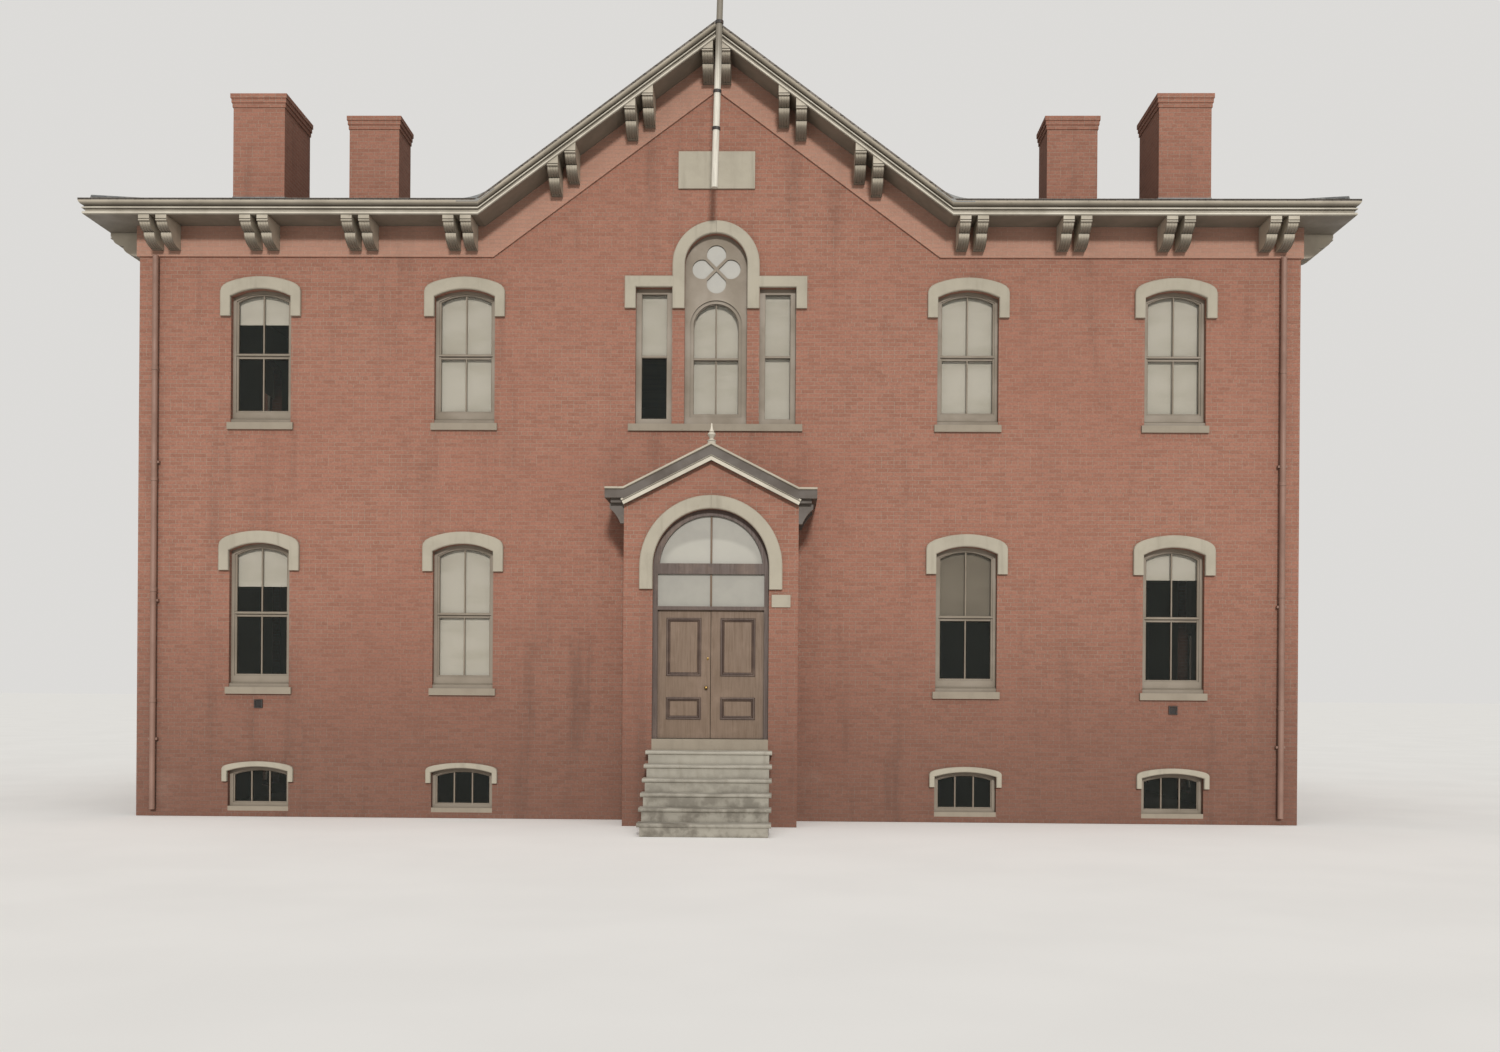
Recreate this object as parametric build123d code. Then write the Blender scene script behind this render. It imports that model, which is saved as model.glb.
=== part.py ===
from build123d import *
import math
import os

# Two-storey brick school on a raised basement, in millimetres.
# +X is to the right of a person who faces the front, +Y runs into the building, +Z is up.
# The origin is on the ground, under the middle of the whole building's box.

# Outline of slender round pieces
ROUND_SIDES = 12

# Main walls
WALL_LENGTH = 20060.0
BUILDING_DEPTH = 15000.0
WALL_THICKNESS = 400.0
CENTRE_BAY_HALF = 3400.0

# Levels above the ground
GROUND_FLOOR_LEVEL = 1440.0
UPPER_FLOOR_LEVEL = 5880.0
FLOOR_THICKNESS = 300.0

# Cornice, frieze and roofs
CORNICE_OVERHANG = 750.0
CORNICE_HEIGHT = 225.0
FASCIA_SET_BACK = 90.0
DRIP_HEIGHT = 55.0
FILLET_HEIGHT = 26.0
FILLET_PROUD = 18.0
FILLET_RISE = 100.0
CROWN_RISE = 150.0
CROWN_BULGE = 14.0
FRIEZE_HEIGHT = 525.0
RAKE_FRIEZE_HEIGHT = 632.0
FRIEZE_THICKNESS = 40.0
GABLE_HALF_WIDTH = 4000.0
GABLE_PITCH = 36.7
WING_PITCH = 14.0
ROOF_THICKNESS = 35.0

# Paired brackets under the cornice
BRACKET_WIDTH = 185.0
BRACKET_DEPTH = 640.0
BRACKET_HEIGHT = 430.0
BRACKET_BLOCK = 100.0
BRACKET_FOOT = 90.0
BRACKET_NECK = 400.0
BRACKET_NECK_DROP = 240.0
BRACKET_STEP = 28.0
BRACKET_BELLY = 30.0
BRACKET_CHORDS = 2
PAIR_SPACING = 295.0
RAKE_PAIR_PITCH = 1300.0
RAKE_PAIR_STEPS = 2
WING_PAIR_START = 4360.0
WING_PAIR_PITCH = 1725.0
WING_PAIR_COUNT = 4
SIDE_PAIR_COUNT = 9

# Windows of the wings, sides and back
WINDOW_WIDTH = 1050.0
INNER_WINDOW_X = 4350.0
OUTER_WINDOW_X = 7900.0
SIDE_WINDOW_PITCH = 3500.0
SIDE_WINDOW_COUNT = 4
GROUND_SILL_TOP = 2250.0
GROUND_SPRING = 4620.0
UPPER_SILL_TOP = 6840.0
UPPER_SPRING = 9030.0
SOFFIT_OVER_SPRING = 1210.0
ATTIC_FLOOR_DROP = 90.0
SOFFIT_LEVEL = UPPER_SPRING + SOFFIT_OVER_SPRING
ATTIC_FLOOR_LEVEL = SOFFIT_LEVEL - ATTIC_FLOOR_DROP
HEAD_RISE = 130.0
HEAD_CHORDS = 4
HOOD_LEG = 175.0
HOOD_BAND = 210.0
HOOD_RISE = 160.0
HOOD_DROP = 345.0
HOOD_PROJECTION = 70.0
SILL_HEIGHT = 120.0
SILL_LUG = 50.0
SILL_PROJECTION = 55.0
REVEAL_DEPTH = 110.0
SASH_WIDTH = 55.0
SASH_DEPTH = 60.0
BOTTOM_RAIL = 105.0
SUB_SILL_HEIGHT = 90.0
SUB_SILL_FALL = 35.0
SUB_SILL_INSET = 20.0
GLASS_THICKNESS = 10.0

# Basement windows
BASEMENT_WIDTH = 1060.0
BASEMENT_SILL_TOP = 180.0
BASEMENT_SPRING = 790.0
BASEMENT_RISE = 80.0
BASEMENT_HOOD_LEG = 90.0
BASEMENT_HOOD_DROP = 180.0
BASEMENT_SILL_HEIGHT = 80.0

# Triple window of the centre bay
CENTRE_LIGHT_WIDTH = 1080.0
CENTRE_SPRING_RISE = 395.0
SIDE_LIGHT_WIDTH = 630.0
SIDE_LIGHT_X = 1070.0
SIDE_LIGHT_HEIGHT = 2360.0
TRIPLE_HOOD_BAND = 212.0
TRIPLE_FLAT_BAND = 190.0
TRIPLE_HOOD_DROP = 364.0
TRIPLE_SILL_LUG = 120.0
SIDE_LIGHT_SASH = 90.0
TRACERY_DEPTH = 110.0
CENTRE_SASH_WIDTH = 900.0
CENTRE_SASH_DROP = 1035.0
CENTRE_SASH_FOOT_RISE = 140.0
QUATREFOIL_DROP = 47.0
LOBE_OFFSET = 250.0
LOBE_RADIUS = 168.0
LOBE_BAR = 50.0

# Stone tablet and flagpole on the gable
TABLET_WIDTH = 1320.0
TABLET_GAP = 553.0
TABLET_HEIGHT = 640.0
TABLET_THICKNESS = 45.0
POLE_FOOT_DROP = 260.0
POLE_LENGTH = 6760.0
POLE_LEAN = 1.3
POLE_FOOT_RADIUS = 57.0
POLE_TOP_RADIUS = 38.0
POLE_CLEARANCE = 60.0
POLE_TRUCK_RADIUS = 75.0
POLE_TRUCK_HEIGHT = 60.0
POLE_TRUCK_BEVEL = 20.0
POLE_IRON = 50.0
POLE_ARM_GAP = 80.0
POLE_ARM_PITCH = 620.0
POLE_ARM_COUNT = 2
POLE_COLLAR = 12.0

# Chimneys: distance of the near side from the middle, setback from the front, width, depth
CHIMNEY_TOP = 12920.0
CHIMNEY_CAP_HEIGHT = 240.0
CHIMNEY_CAP_PROUD = 45.0
CHIMNEY_CAP_COURSES = 3
FLUE_SIZE = 230.0
FLUE_DEPTH = 300.0
INNER_CHIMNEY_X = 6030.0
INNER_CHIMNEY_SETBACK = 2000.0
INNER_CHIMNEY_WIDTH = 930.0
INNER_CHIMNEY_DEPTH = 870.0
OUTER_CHIMNEY_X = 7830.0
OUTER_CHIMNEY_SETBACK = 950.0
OUTER_CHIMNEY_WIDTH = 930.0
OUTER_CHIMNEY_DEPTH = 1450.0

# Porch
PORCH_WIDTH = 2880.0
PORCH_PROJECTION = 1200.0
PORCH_WALL = 350.0
PORCH_EAVE_TOP = 5565.0
PORCH_PITCH = 27.0
PORCH_EAVE_OVERHANG = 300.0
PORCH_FRONT_OVERHANG = 200.0
PORCH_CORNICE_HEIGHT = 206.0
PORCH_BED_HEIGHT = 70.0
PORCH_BED_OUT = 110.0
PORCH_BRACKET_WIDTH = 150.0
PORCH_BRACKET_DEPTH = 240.0
PORCH_BRACKET_HEIGHT = 330.0
PORCH_BRACKET_NOSE = 82.0
PORCH_BRACKET_HEEL = 60.0
PORCH_BRACKET_HOLLOW = 30.0
PORCH_BRACKET_HOLLOW_DROP = 198.0
PORCH_FINIAL_HEIGHT = 380.0
PORCH_FINIAL_RADIUS = 75.0
FINIAL_SIDES = 8
DOORWAY_WIDTH = 1918.0
ARCH_SPRING = 4280.0
ARCH_BAND = 219.0
ARCH_FOOT = 3910.0
ARCH_PROJECTION = 70.0
INNER_DOORWAY_WIDTH = 2100.0
INNER_DOORWAY_HEAD = 4200.0

# Door frame, doors and fanlight
FRAME_RECESS = 110.0
FRAME_DEPTH = 120.0
FRAME_JAMB = 60.0
FRAME_STOP = 15.0
ARCH_FRAME = 105.0
DOOR_HEAD = 3590.0
DOOR_BAR = 45.0
TRANSOM_FOOT = 4170.0
TRANSOM_HEAD = 4345.0
DOOR_THICKNESS = 50.0
DOOR_GAP = 6.0
DOOR_MEETING_GAP = 9.0
DOOR_FLOOR_GAP = 8.0
DOOR_STILE = 165.0
DOOR_TOP_RAIL = 150.0
LOCK_RAIL_FOOT = 670.0
LOCK_RAIL_HEIGHT = 370.0
DOOR_BOTTOM_RAIL = 320.0
PANEL_SINK = 16.0
PANEL_MARGIN = 55.0
PANEL_RAISE = 9.0
KNOB_RADIUS = 29.0
KNOB_REACH = 62.0
KNOB_NECK = 12.0
KNOB_NECK_LENGTH = 20.0
KNOB_BEVEL = 35.0
KNOB_SIDES = 12
KNOB_HEIGHT = 840.0
KNOB_INSET = 70.0
HINGE_RADIUS = 8.0
HINGE_HEIGHT = 110.0
HINGE_CLEARANCE = 0.6
HINGE_END = 240.0

# Steps
STEP_COUNT = 6
STEP_RISE = 210.0
STEP_GOING = 300.0
LANDING_DEPTH = 300.0
TREAD_THICKNESS = 65.0
TREAD_NOSING = 30.0
STEPS_WIDTH = 1970.0
TREAD_SIDE_NOSING = 45.0

# Small pieces on the walls
PLATE_WIDTH = 310.0
PLATE_HEIGHT = 205.0
PLATE_THICKNESS = 25.0
PLATE_X = 1160.0
PLATE_LEVEL = 3620.0
DOWNSPOUT_RADIUS = 50.0
DOWNSPOUT_X = 9720.0
DOWNSPOUT_FOOT = 120.0
DOWNSPOUT_GAP = 30.0
DOWNSPOUT_STRAP = 40.0
DOWNSPOUT_STRAP_PITCH = 2400.0
VENT_SIZE = 150.0
VENT_LEVEL = 1960.0
VENT_DEPTH = 30.0

# Worked out from the sizes above
HALF_LENGTH = WALL_LENGTH / 2
FRONT_REACH = PORCH_PROJECTION + LANDING_DEPTH + (STEP_COUNT - 1) * STEP_GOING + TREAD_NOSING
WHOLE_DEPTH = FRONT_REACH + BUILDING_DEPTH + CORNICE_OVERHANG
FRONT = FRONT_REACH - WHOLE_DEPTH / 2
BACK = FRONT + BUILDING_DEPTH
MIDDLE = (FRONT + BACK) / 2
PORCH_FACE = FRONT - PORCH_PROJECTION
PORCH_HALF = PORCH_WIDTH / 2
GABLE_SLOPE = math.tan(math.radians(GABLE_PITCH))
WING_SLOPE = math.tan(math.radians(WING_PITCH))
PORCH_SLOPE = math.tan(math.radians(PORCH_PITCH))
CORNICE_BACK_RISE = CORNICE_OVERHANG * WING_SLOPE
GABLE_FRIEZE_HALF = GABLE_HALF_WIDTH - (RAKE_FRIEZE_HEIGHT - FRIEZE_HEIGHT) / GABLE_SLOPE
EAVE_WALL_TOP = SOFFIT_LEVEL + CORNICE_HEIGHT + CORNICE_BACK_RISE
GABLE_SOFFIT_APEX = SOFFIT_LEVEL + GABLE_HALF_WIDTH * GABLE_SLOPE
GABLE_UNDER_APEX = GABLE_SOFFIT_APEX + CORNICE_HEIGHT
GABLE_TOP_APEX = GABLE_UNDER_APEX + ROOF_THICKNESS / math.cos(math.radians(GABLE_PITCH))
WING_ROOF_EDGE = ROOF_THICKNESS / math.cos(math.radians(WING_PITCH))
EAVE_TOP = SOFFIT_LEVEL + CORNICE_HEIGHT + WING_ROOF_EDGE
PORCH_ROOF_EDGE = ROOF_THICKNESS / math.cos(math.radians(PORCH_PITCH))
PORCH_RIDGE_TOP = PORCH_EAVE_TOP + PORCH_HALF * PORCH_SLOPE
PORCH_WALL_TOP = PORCH_EAVE_TOP - PORCH_ROOF_EDGE
LANDING_LEVEL = STEP_COUNT * STEP_RISE
VALLEY_HALF = (GABLE_UNDER_APEX - EAVE_WALL_TOP) / GABLE_SLOPE
SIDE_LIGHT_HEAD = UPPER_SILL_TOP + SIDE_LIGHT_HEIGHT
CENTRE_SPRING = SIDE_LIGHT_HEAD + CENTRE_SPRING_RISE
CENTRE_RISE = CENTRE_LIGHT_WIDTH / 2
TRIPLE_HOOD_FOOT = SIDE_LIGHT_HEAD - TRIPLE_HOOD_DROP
TRIPLE_HOOD_CROWN = CENTRE_SPRING + CENTRE_RISE + TRIPLE_HOOD_BAND
TRIPLE_SILL_HALF = SIDE_LIGHT_X + SIDE_LIGHT_WIDTH / 2 + TRIPLE_SILL_LUG
QUATREFOIL_LEVEL = CENTRE_SPRING - QUATREFOIL_DROP
CENTRE_SASH_SPRING = CENTRE_SPRING - CENTRE_SASH_DROP
CENTRE_SASH_FOOT = UPPER_SILL_TOP + CENTRE_SASH_FOOT_RISE
TABLET_FOOT = TRIPLE_HOOD_CROWN + TABLET_GAP
POLE_FOOT = TABLET_FOOT - POLE_FOOT_DROP
UP = Vector(0, 0, 1)


def write(shape, name):
    """One node: one file named after the piece."""
    export_step(shape, f"parts/{name}.step")


def block(x_low, x_high, y_low, y_high, z_low, z_high):
    """Box between two corners."""
    centre = Pos((x_low + x_high) / 2, (y_low + y_high) / 2, (z_low + z_high) / 2)
    return centre * Box(x_high - x_low, y_high - y_low, z_high - z_low)


def front_panel(points, y_low, y_high):
    """Outline of (x, z) points drawn in elevation and given depth along Y."""
    outline = Polyline(*[(x, y_low, z) for x, z in points], close=True)
    return extrude(make_face(outline), y_high - y_low, dir=(0, 1, 0))


def side_panel(points, x_low, x_high):
    """Outline of (y, z) points drawn from the side and given width along X."""
    outline = Polyline(*[(x_low, y, z) for y, z in points], close=True)
    return extrude(make_face(outline), x_high - x_low, dir=(1, 0, 0))


def arched(width, foot, spring, rise, y_low, y_high):
    """Opening or pane with a flat foot and an arched head, centred on x = 0."""
    half = width / 2
    sides = Polyline((-half, y_low, spring), (-half, y_low, foot), (half, y_low, foot), (half, y_low, spring))
    head = ThreePointArc((half, y_low, spring), (0, y_low, spring + rise), (-half, y_low, spring))
    return extrude(make_face([sides, head]), y_high - y_low, dir=(0, 1, 0))


def bow(start, end, sagitta, chords):
    """Points from start to end on an arc that bows by the sagitta to the left, without its two ends."""
    run = (end[0] - start[0], end[1] - start[1])
    length = math.hypot(*run)
    side = math.copysign(1, sagitta)
    radius = (length ** 2 / 4 + sagitta ** 2) / (2 * abs(sagitta))
    half_angle = math.asin(length / (2 * radius))
    points = []
    for index in range(1, chords):
        angle = half_angle * (2 * index / chords - 1)
        along = length / 2 + radius * math.sin(angle)
        out = side * (radius * math.cos(angle) - radius + abs(sagitta))
        x = start[0] + (run[0] * along - run[1] * out) / length
        z = start[1] + (run[1] * along + run[0] * out) / length
        points.append((x, z))
    return points


def segmental(width, foot, spring, rise, y_low, y_high):
    """Opening or pane with a flat foot and a shallow head of a few chords, centred on x = 0."""
    half = width / 2
    head = bow((half, spring), (-half, spring), -rise, HEAD_CHORDS)
    return front_panel([(-half, spring), (-half, foot), (half, foot), (half, spring), *head], y_low, y_high)


def tapered(foot_radius, top_radius, height, sides):
    """Upright stage with flat sides that narrows or widens from its foot to its top."""
    rings = []
    for radius, level in ((foot_radius, 0), (top_radius, height)):
        angles = [2 * math.pi * index / sides for index in range(sides)]
        rings.append([(radius * math.cos(angle), radius * math.sin(angle), level) for angle in angles])
    faces = [Face(Wire.make_polygon(ring)) for ring in rings]
    for index in range(sides):
        after = (index + 1) % sides
        corners = [rings[0][index], rings[0][after], rings[1][after], rings[1][index]]
        faces.append(Face(Wire.make_polygon(corners)))
    return Solid(Shell(faces))


def solids_of(shapes):
    """Separate solids kept side by side in one node."""
    pieces = []
    for shape in shapes:
        pieces.extend(shape.solids())
    return Compound(children=pieces)


def on_wall(wall, along, shape):
    """Move a piece drawn on the front face at x = 0 to its place along one of the four walls."""
    places = {
        "front": Pos(along, FRONT, 0),
        "back": Pos(-along, BACK, 0) * Rot(0, 0, 180),
        "left": Pos(-HALF_LENGTH, MIDDLE - along, 0) * Rot(0, 0, -90),
        "right": Pos(HALF_LENGTH, MIDDLE + along, 0) * Rot(0, 0, 90),
    }
    return places[wall] * shape


def gable_under(x):
    """Level of the gable roof's underside at a distance x from the middle."""
    return GABLE_UNDER_APEX - abs(x) * GABLE_SLOPE


# Windows: each set of pieces is drawn once on the front face and placed on the walls.

WING_POSITIONS = [-OUTER_WINDOW_X, -INNER_WINDOW_X, INNER_WINDOW_X, OUTER_WINDOW_X]
SIDE_POSITIONS = [
    (index - (SIDE_WINDOW_COUNT - 1) / 2) * SIDE_WINDOW_PITCH for index in range(SIDE_WINDOW_COUNT)
]
BACK_POSITIONS = [-OUTER_WINDOW_X, -INNER_WINDOW_X, 0.0, INNER_WINDOW_X, OUTER_WINDOW_X]
WALL_POSITIONS = {
    "front": WING_POSITIONS,
    "left": SIDE_POSITIONS,
    "right": SIDE_POSITIONS,
    "back": BACK_POSITIONS,
}
STOREYS = [(GROUND_SILL_TOP, GROUND_SPRING), (UPPER_SILL_TOP, UPPER_SPRING)]


def window_cut(sill_top, spring):
    """The hole of one storey window, with the notch for its sill."""
    hole = segmental(WINDOW_WIDTH, sill_top, spring, HEAD_RISE, 0, WALL_THICKNESS)
    return hole + sill_stone(sill_top, WINDOW_WIDTH + 2 * SILL_LUG, SILL_HEIGHT, 0)


def sill_stone(sill_top, length, height, projection):
    """Sill that runs back to the window frame and stands out from the wall."""
    half = length / 2
    return block(-half, half, -projection, REVEAL_DEPTH, sill_top - height, sill_top)


def window_hood(spring, rise, width, leg, band, hood_rise, drop):
    """Hood over a segmental head: a band with short legs down both sides."""
    foot = spring - drop
    half = width / 2
    outer_half = half + leg
    outer_spring = spring + rise + band - hood_rise
    inner = bow((-half, spring), (half, spring), rise, HEAD_CHORDS)
    outer = bow((outer_half, outer_spring), (-outer_half, outer_spring), -hood_rise, HEAD_CHORDS)
    return front_panel(
        [
            (-half, foot), (-half, spring), *inner, (half, spring), (half, foot), (outer_half, foot),
            (outer_half, outer_spring), *outer, (-outer_half, outer_spring), (-outer_half, foot),
        ],
        -HOOD_PROJECTION, 0,
    )


def window_frame(width, sill_top, spring, rise, bottom_rail):
    """Frame of one window with its bottom rail."""
    y_low = REVEAL_DEPTH
    y_high = REVEAL_DEPTH + SASH_DEPTH
    light_width = width - 2 * SASH_WIDTH
    light_foot = sill_top + bottom_rail
    outer = segmental(width, sill_top, spring, rise, y_low, y_high)
    light = segmental(light_width, light_foot, spring - SASH_WIDTH, rise, y_low, y_high)
    return outer - light


def sub_sill(width, sill_top):
    """Wooden sill on the stone one, under the sash, with a top that sheds water outwards."""
    top = sill_top + SUB_SILL_HEIGHT
    outline = [
        (SUB_SILL_INSET, sill_top), (SUB_SILL_INSET, top - SUB_SILL_FALL),
        (REVEAL_DEPTH, top), (REVEAL_DEPTH, sill_top),
    ]
    return side_panel(outline, -width / 2, width / 2)


def window_pane(width, sill_top, spring, rise):
    """Sheet of glass behind the sash frame."""
    y_low = REVEAL_DEPTH + SASH_DEPTH
    return segmental(width, sill_top, spring, rise, y_low, y_low + GLASS_THICKNESS)


def basement_cut():
    """Hole of a basement window, with the notch for its sill."""
    hole = segmental(BASEMENT_WIDTH, BASEMENT_SILL_TOP, BASEMENT_SPRING, BASEMENT_RISE, 0, WALL_THICKNESS)
    return hole + sill_stone(BASEMENT_SILL_TOP, BASEMENT_WIDTH, BASEMENT_SILL_HEIGHT, 0)


def wall_cuts(wall, positions):
    """All window holes of a wall at the stated positions."""
    cuts = []
    for along in positions:
        for sill_top, spring in STOREYS:
            cuts.append(on_wall(wall, along, window_cut(sill_top, spring)))
        cuts.append(on_wall(wall, along, basement_cut()))
    return cuts


def window_pieces(walls):
    """Hoods, sills, frames and panes for every window on the stated walls."""
    hoods, sills, frames, panes = [], [], [], []
    for wall in walls:
        for along in WALL_POSITIONS[wall]:
            for sill_top, spring in STOREYS:
                hood = window_hood(spring, HEAD_RISE, WINDOW_WIDTH, HOOD_LEG, HOOD_BAND, HOOD_RISE, HOOD_DROP)
                sill = sill_stone(sill_top, WINDOW_WIDTH + 2 * SILL_LUG, SILL_HEIGHT, SILL_PROJECTION)
                foot_rail = SUB_SILL_HEIGHT + BOTTOM_RAIL
                frame = window_frame(WINDOW_WIDTH, sill_top, spring, HEAD_RISE, foot_rail)
                frame += sub_sill(WINDOW_WIDTH, sill_top)
                pane = window_pane(WINDOW_WIDTH, sill_top, spring, HEAD_RISE)
                hoods.append(on_wall(wall, along, hood))
                sills.append(on_wall(wall, along, sill))
                frames.append(on_wall(wall, along, frame))
                panes.append(on_wall(wall, along, pane))
            low_hood = window_hood(
                BASEMENT_SPRING, BASEMENT_RISE, BASEMENT_WIDTH, BASEMENT_HOOD_LEG,
                BASEMENT_HOOD_LEG, BASEMENT_RISE, BASEMENT_HOOD_DROP,
            )
            low_sill = sill_stone(BASEMENT_SILL_TOP, BASEMENT_WIDTH, BASEMENT_SILL_HEIGHT, 0)
            low_frame = window_frame(
                BASEMENT_WIDTH, BASEMENT_SILL_TOP, BASEMENT_SPRING, BASEMENT_RISE, SASH_WIDTH
            )
            low_pane = window_pane(BASEMENT_WIDTH, BASEMENT_SILL_TOP, BASEMENT_SPRING, BASEMENT_RISE)
            hoods.append(on_wall(wall, along, low_hood))
            sills.append(on_wall(wall, along, low_sill))
            frames.append(on_wall(wall, along, low_frame))
            panes.append(on_wall(wall, along, low_pane))
    return hoods, sills, frames, panes


# Triple window of the centre bay, drawn on the front face.


def centre_light(y_low, y_high):
    """Round-headed opening of the middle light."""
    return arched(CENTRE_LIGHT_WIDTH, UPPER_SILL_TOP, CENTRE_SPRING, CENTRE_RISE, y_low, y_high)


def side_light(side, y_low, y_high):
    """Flat-headed opening of a narrow light beside the middle one."""
    centre = side * SIDE_LIGHT_X
    half = SIDE_LIGHT_WIDTH / 2
    return block(centre - half, centre + half, y_low, y_high, UPPER_SILL_TOP, SIDE_LIGHT_HEAD)


def triple_sill(projection):
    """One long sill under the three lights."""
    return sill_stone(UPPER_SILL_TOP, 2 * TRIPLE_SILL_HALF, SILL_HEIGHT, projection)


def triple_cut():
    """The three openings and the notch of their sill."""
    cut = centre_light(0, WALL_THICKNESS) + triple_sill(0)
    for side in (-1, 1):
        cut += side_light(side, 0, WALL_THICKNESS)
    return cut


def triple_hood():
    """Round hood over the middle light and a flat hood with an outer leg over each side light."""
    outer_half = CENTRE_RISE + TRIPLE_HOOD_BAND
    outer = arched(2 * outer_half, TRIPLE_HOOD_FOOT, CENTRE_SPRING, outer_half, -HOOD_PROJECTION, 0)
    foot_below = TRIPLE_HOOD_FOOT - TRIPLE_HOOD_BAND
    inner = arched(CENTRE_LIGHT_WIDTH, foot_below, CENTRE_SPRING, CENTRE_RISE, -HOOD_PROJECTION, 0)
    hood = outer - inner
    light_edge = SIDE_LIGHT_X + SIDE_LIGHT_WIDTH / 2
    flat_end = light_edge + TRIPLE_FLAT_BAND
    flat_top = SIDE_LIGHT_HEAD + TRIPLE_FLAT_BAND
    for side in (-1, 1):
        low, high = sorted((side * outer_half, side * flat_end))
        hood += block(low, high, -HOOD_PROJECTION, 0, SIDE_LIGHT_HEAD, flat_top)
        low, high = sorted((side * light_edge, side * flat_end))
        hood += block(low, high, -HOOD_PROJECTION, 0, TRIPLE_HOOD_FOOT, flat_top)
    return hood


def lobe(angle, y_low, y_high):
    """One foil of the quatrefoil: a round light that narrows towards the middle."""
    reach = LOBE_OFFSET * math.cos(math.radians(45)) ** 2
    outline = [(0, 0), (reach, reach), (LOBE_OFFSET, reach), (LOBE_OFFSET, -reach), (reach, -reach)]
    wedge = front_panel(outline, y_low, y_high)
    neck = wedge & block(0, LOBE_OFFSET, y_low, y_high, -LOBE_RADIUS, LOBE_RADIUS)
    disc = Pos(LOBE_OFFSET, (y_low + y_high) / 2, 0) * Rot(90, 0, 0) * Cylinder(LOBE_RADIUS, y_high - y_low)
    return Pos(0, 0, QUATREFOIL_LEVEL) * Rot(0, angle, 0) * (disc + neck)


def tracery():
    """Panel that fills the middle light: a quatrefoil over a round-headed sash."""
    y_low = REVEAL_DEPTH
    y_high = REVEAL_DEPTH + TRACERY_DEPTH
    panel = centre_light(y_low, y_high)
    sash_rise = CENTRE_SASH_WIDTH / 2
    panel -= arched(CENTRE_SASH_WIDTH, CENTRE_SASH_FOOT, CENTRE_SASH_SPRING, sash_rise, y_low, y_high)
    for turn in range(4):
        panel -= lobe(turn * 90, y_low, y_high)
    half = LOBE_OFFSET
    bar = block(-half, half, y_low, y_high, -LOBE_BAR / 2, LOBE_BAR / 2)
    for angle in (45, -45):
        panel += Pos(0, 0, QUATREFOIL_LEVEL) * Rot(0, angle, 0) * bar
    return panel


def centre_sash():
    """Round-headed sash below the quatrefoil."""
    y_low = REVEAL_DEPTH + SASH_DEPTH / 2
    y_high = REVEAL_DEPTH + TRACERY_DEPTH
    rise = CENTRE_SASH_WIDTH / 2
    light_width = CENTRE_SASH_WIDTH - 2 * SASH_WIDTH
    frame = arched(CENTRE_SASH_WIDTH, CENTRE_SASH_FOOT, CENTRE_SASH_SPRING, rise, y_low, y_high)
    light_foot = CENTRE_SASH_FOOT + SASH_WIDTH
    return frame - arched(light_width, light_foot, CENTRE_SASH_SPRING, light_width / 2, y_low, y_high)


def side_sash(side):
    """Sash frame of a narrow side light."""
    y_low = REVEAL_DEPTH
    y_high = REVEAL_DEPTH + SASH_DEPTH
    centre = side * SIDE_LIGHT_X
    half = SIDE_LIGHT_WIDTH / 2 - SIDE_LIGHT_SASH
    foot = UPPER_SILL_TOP + BOTTOM_RAIL
    head = SIDE_LIGHT_HEAD - SIDE_LIGHT_SASH
    return side_light(side, y_low, y_high) - block(centre - half, centre + half, y_low, y_high, foot, head)


def triple_panes():
    """Glass of the three lights."""
    centre_low = REVEAL_DEPTH + TRACERY_DEPTH
    side_low = REVEAL_DEPTH + SASH_DEPTH
    panes = [centre_light(centre_low, centre_low + GLASS_THICKNESS)]
    for side in (-1, 1):
        panes.append(side_light(side, side_low, side_low + GLASS_THICKNESS))
    return panes


# Walls

def gable_wall_outline(foot, head_of):
    """Points of the centre bay's upper wall, from its foot to the underside of the roof."""
    return [
        (-CENTRE_BAY_HALF, foot), (CENTRE_BAY_HALF, foot), (CENTRE_BAY_HALF, head_of(CENTRE_BAY_HALF)),
        (0, head_of(0)), (-CENTRE_BAY_HALF, head_of(CENTRE_BAY_HALF)),
    ]


def wing_outline():
    """Points of the right wing's front wall, with the foot of the gable on its inner side."""
    return [
        (CENTRE_BAY_HALF, 0), (HALF_LENGTH, 0), (HALF_LENGTH, EAVE_WALL_TOP), (VALLEY_HALF, EAVE_WALL_TOP),
        (CENTRE_BAY_HALF, gable_under(CENTRE_BAY_HALF)),
    ]


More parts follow.
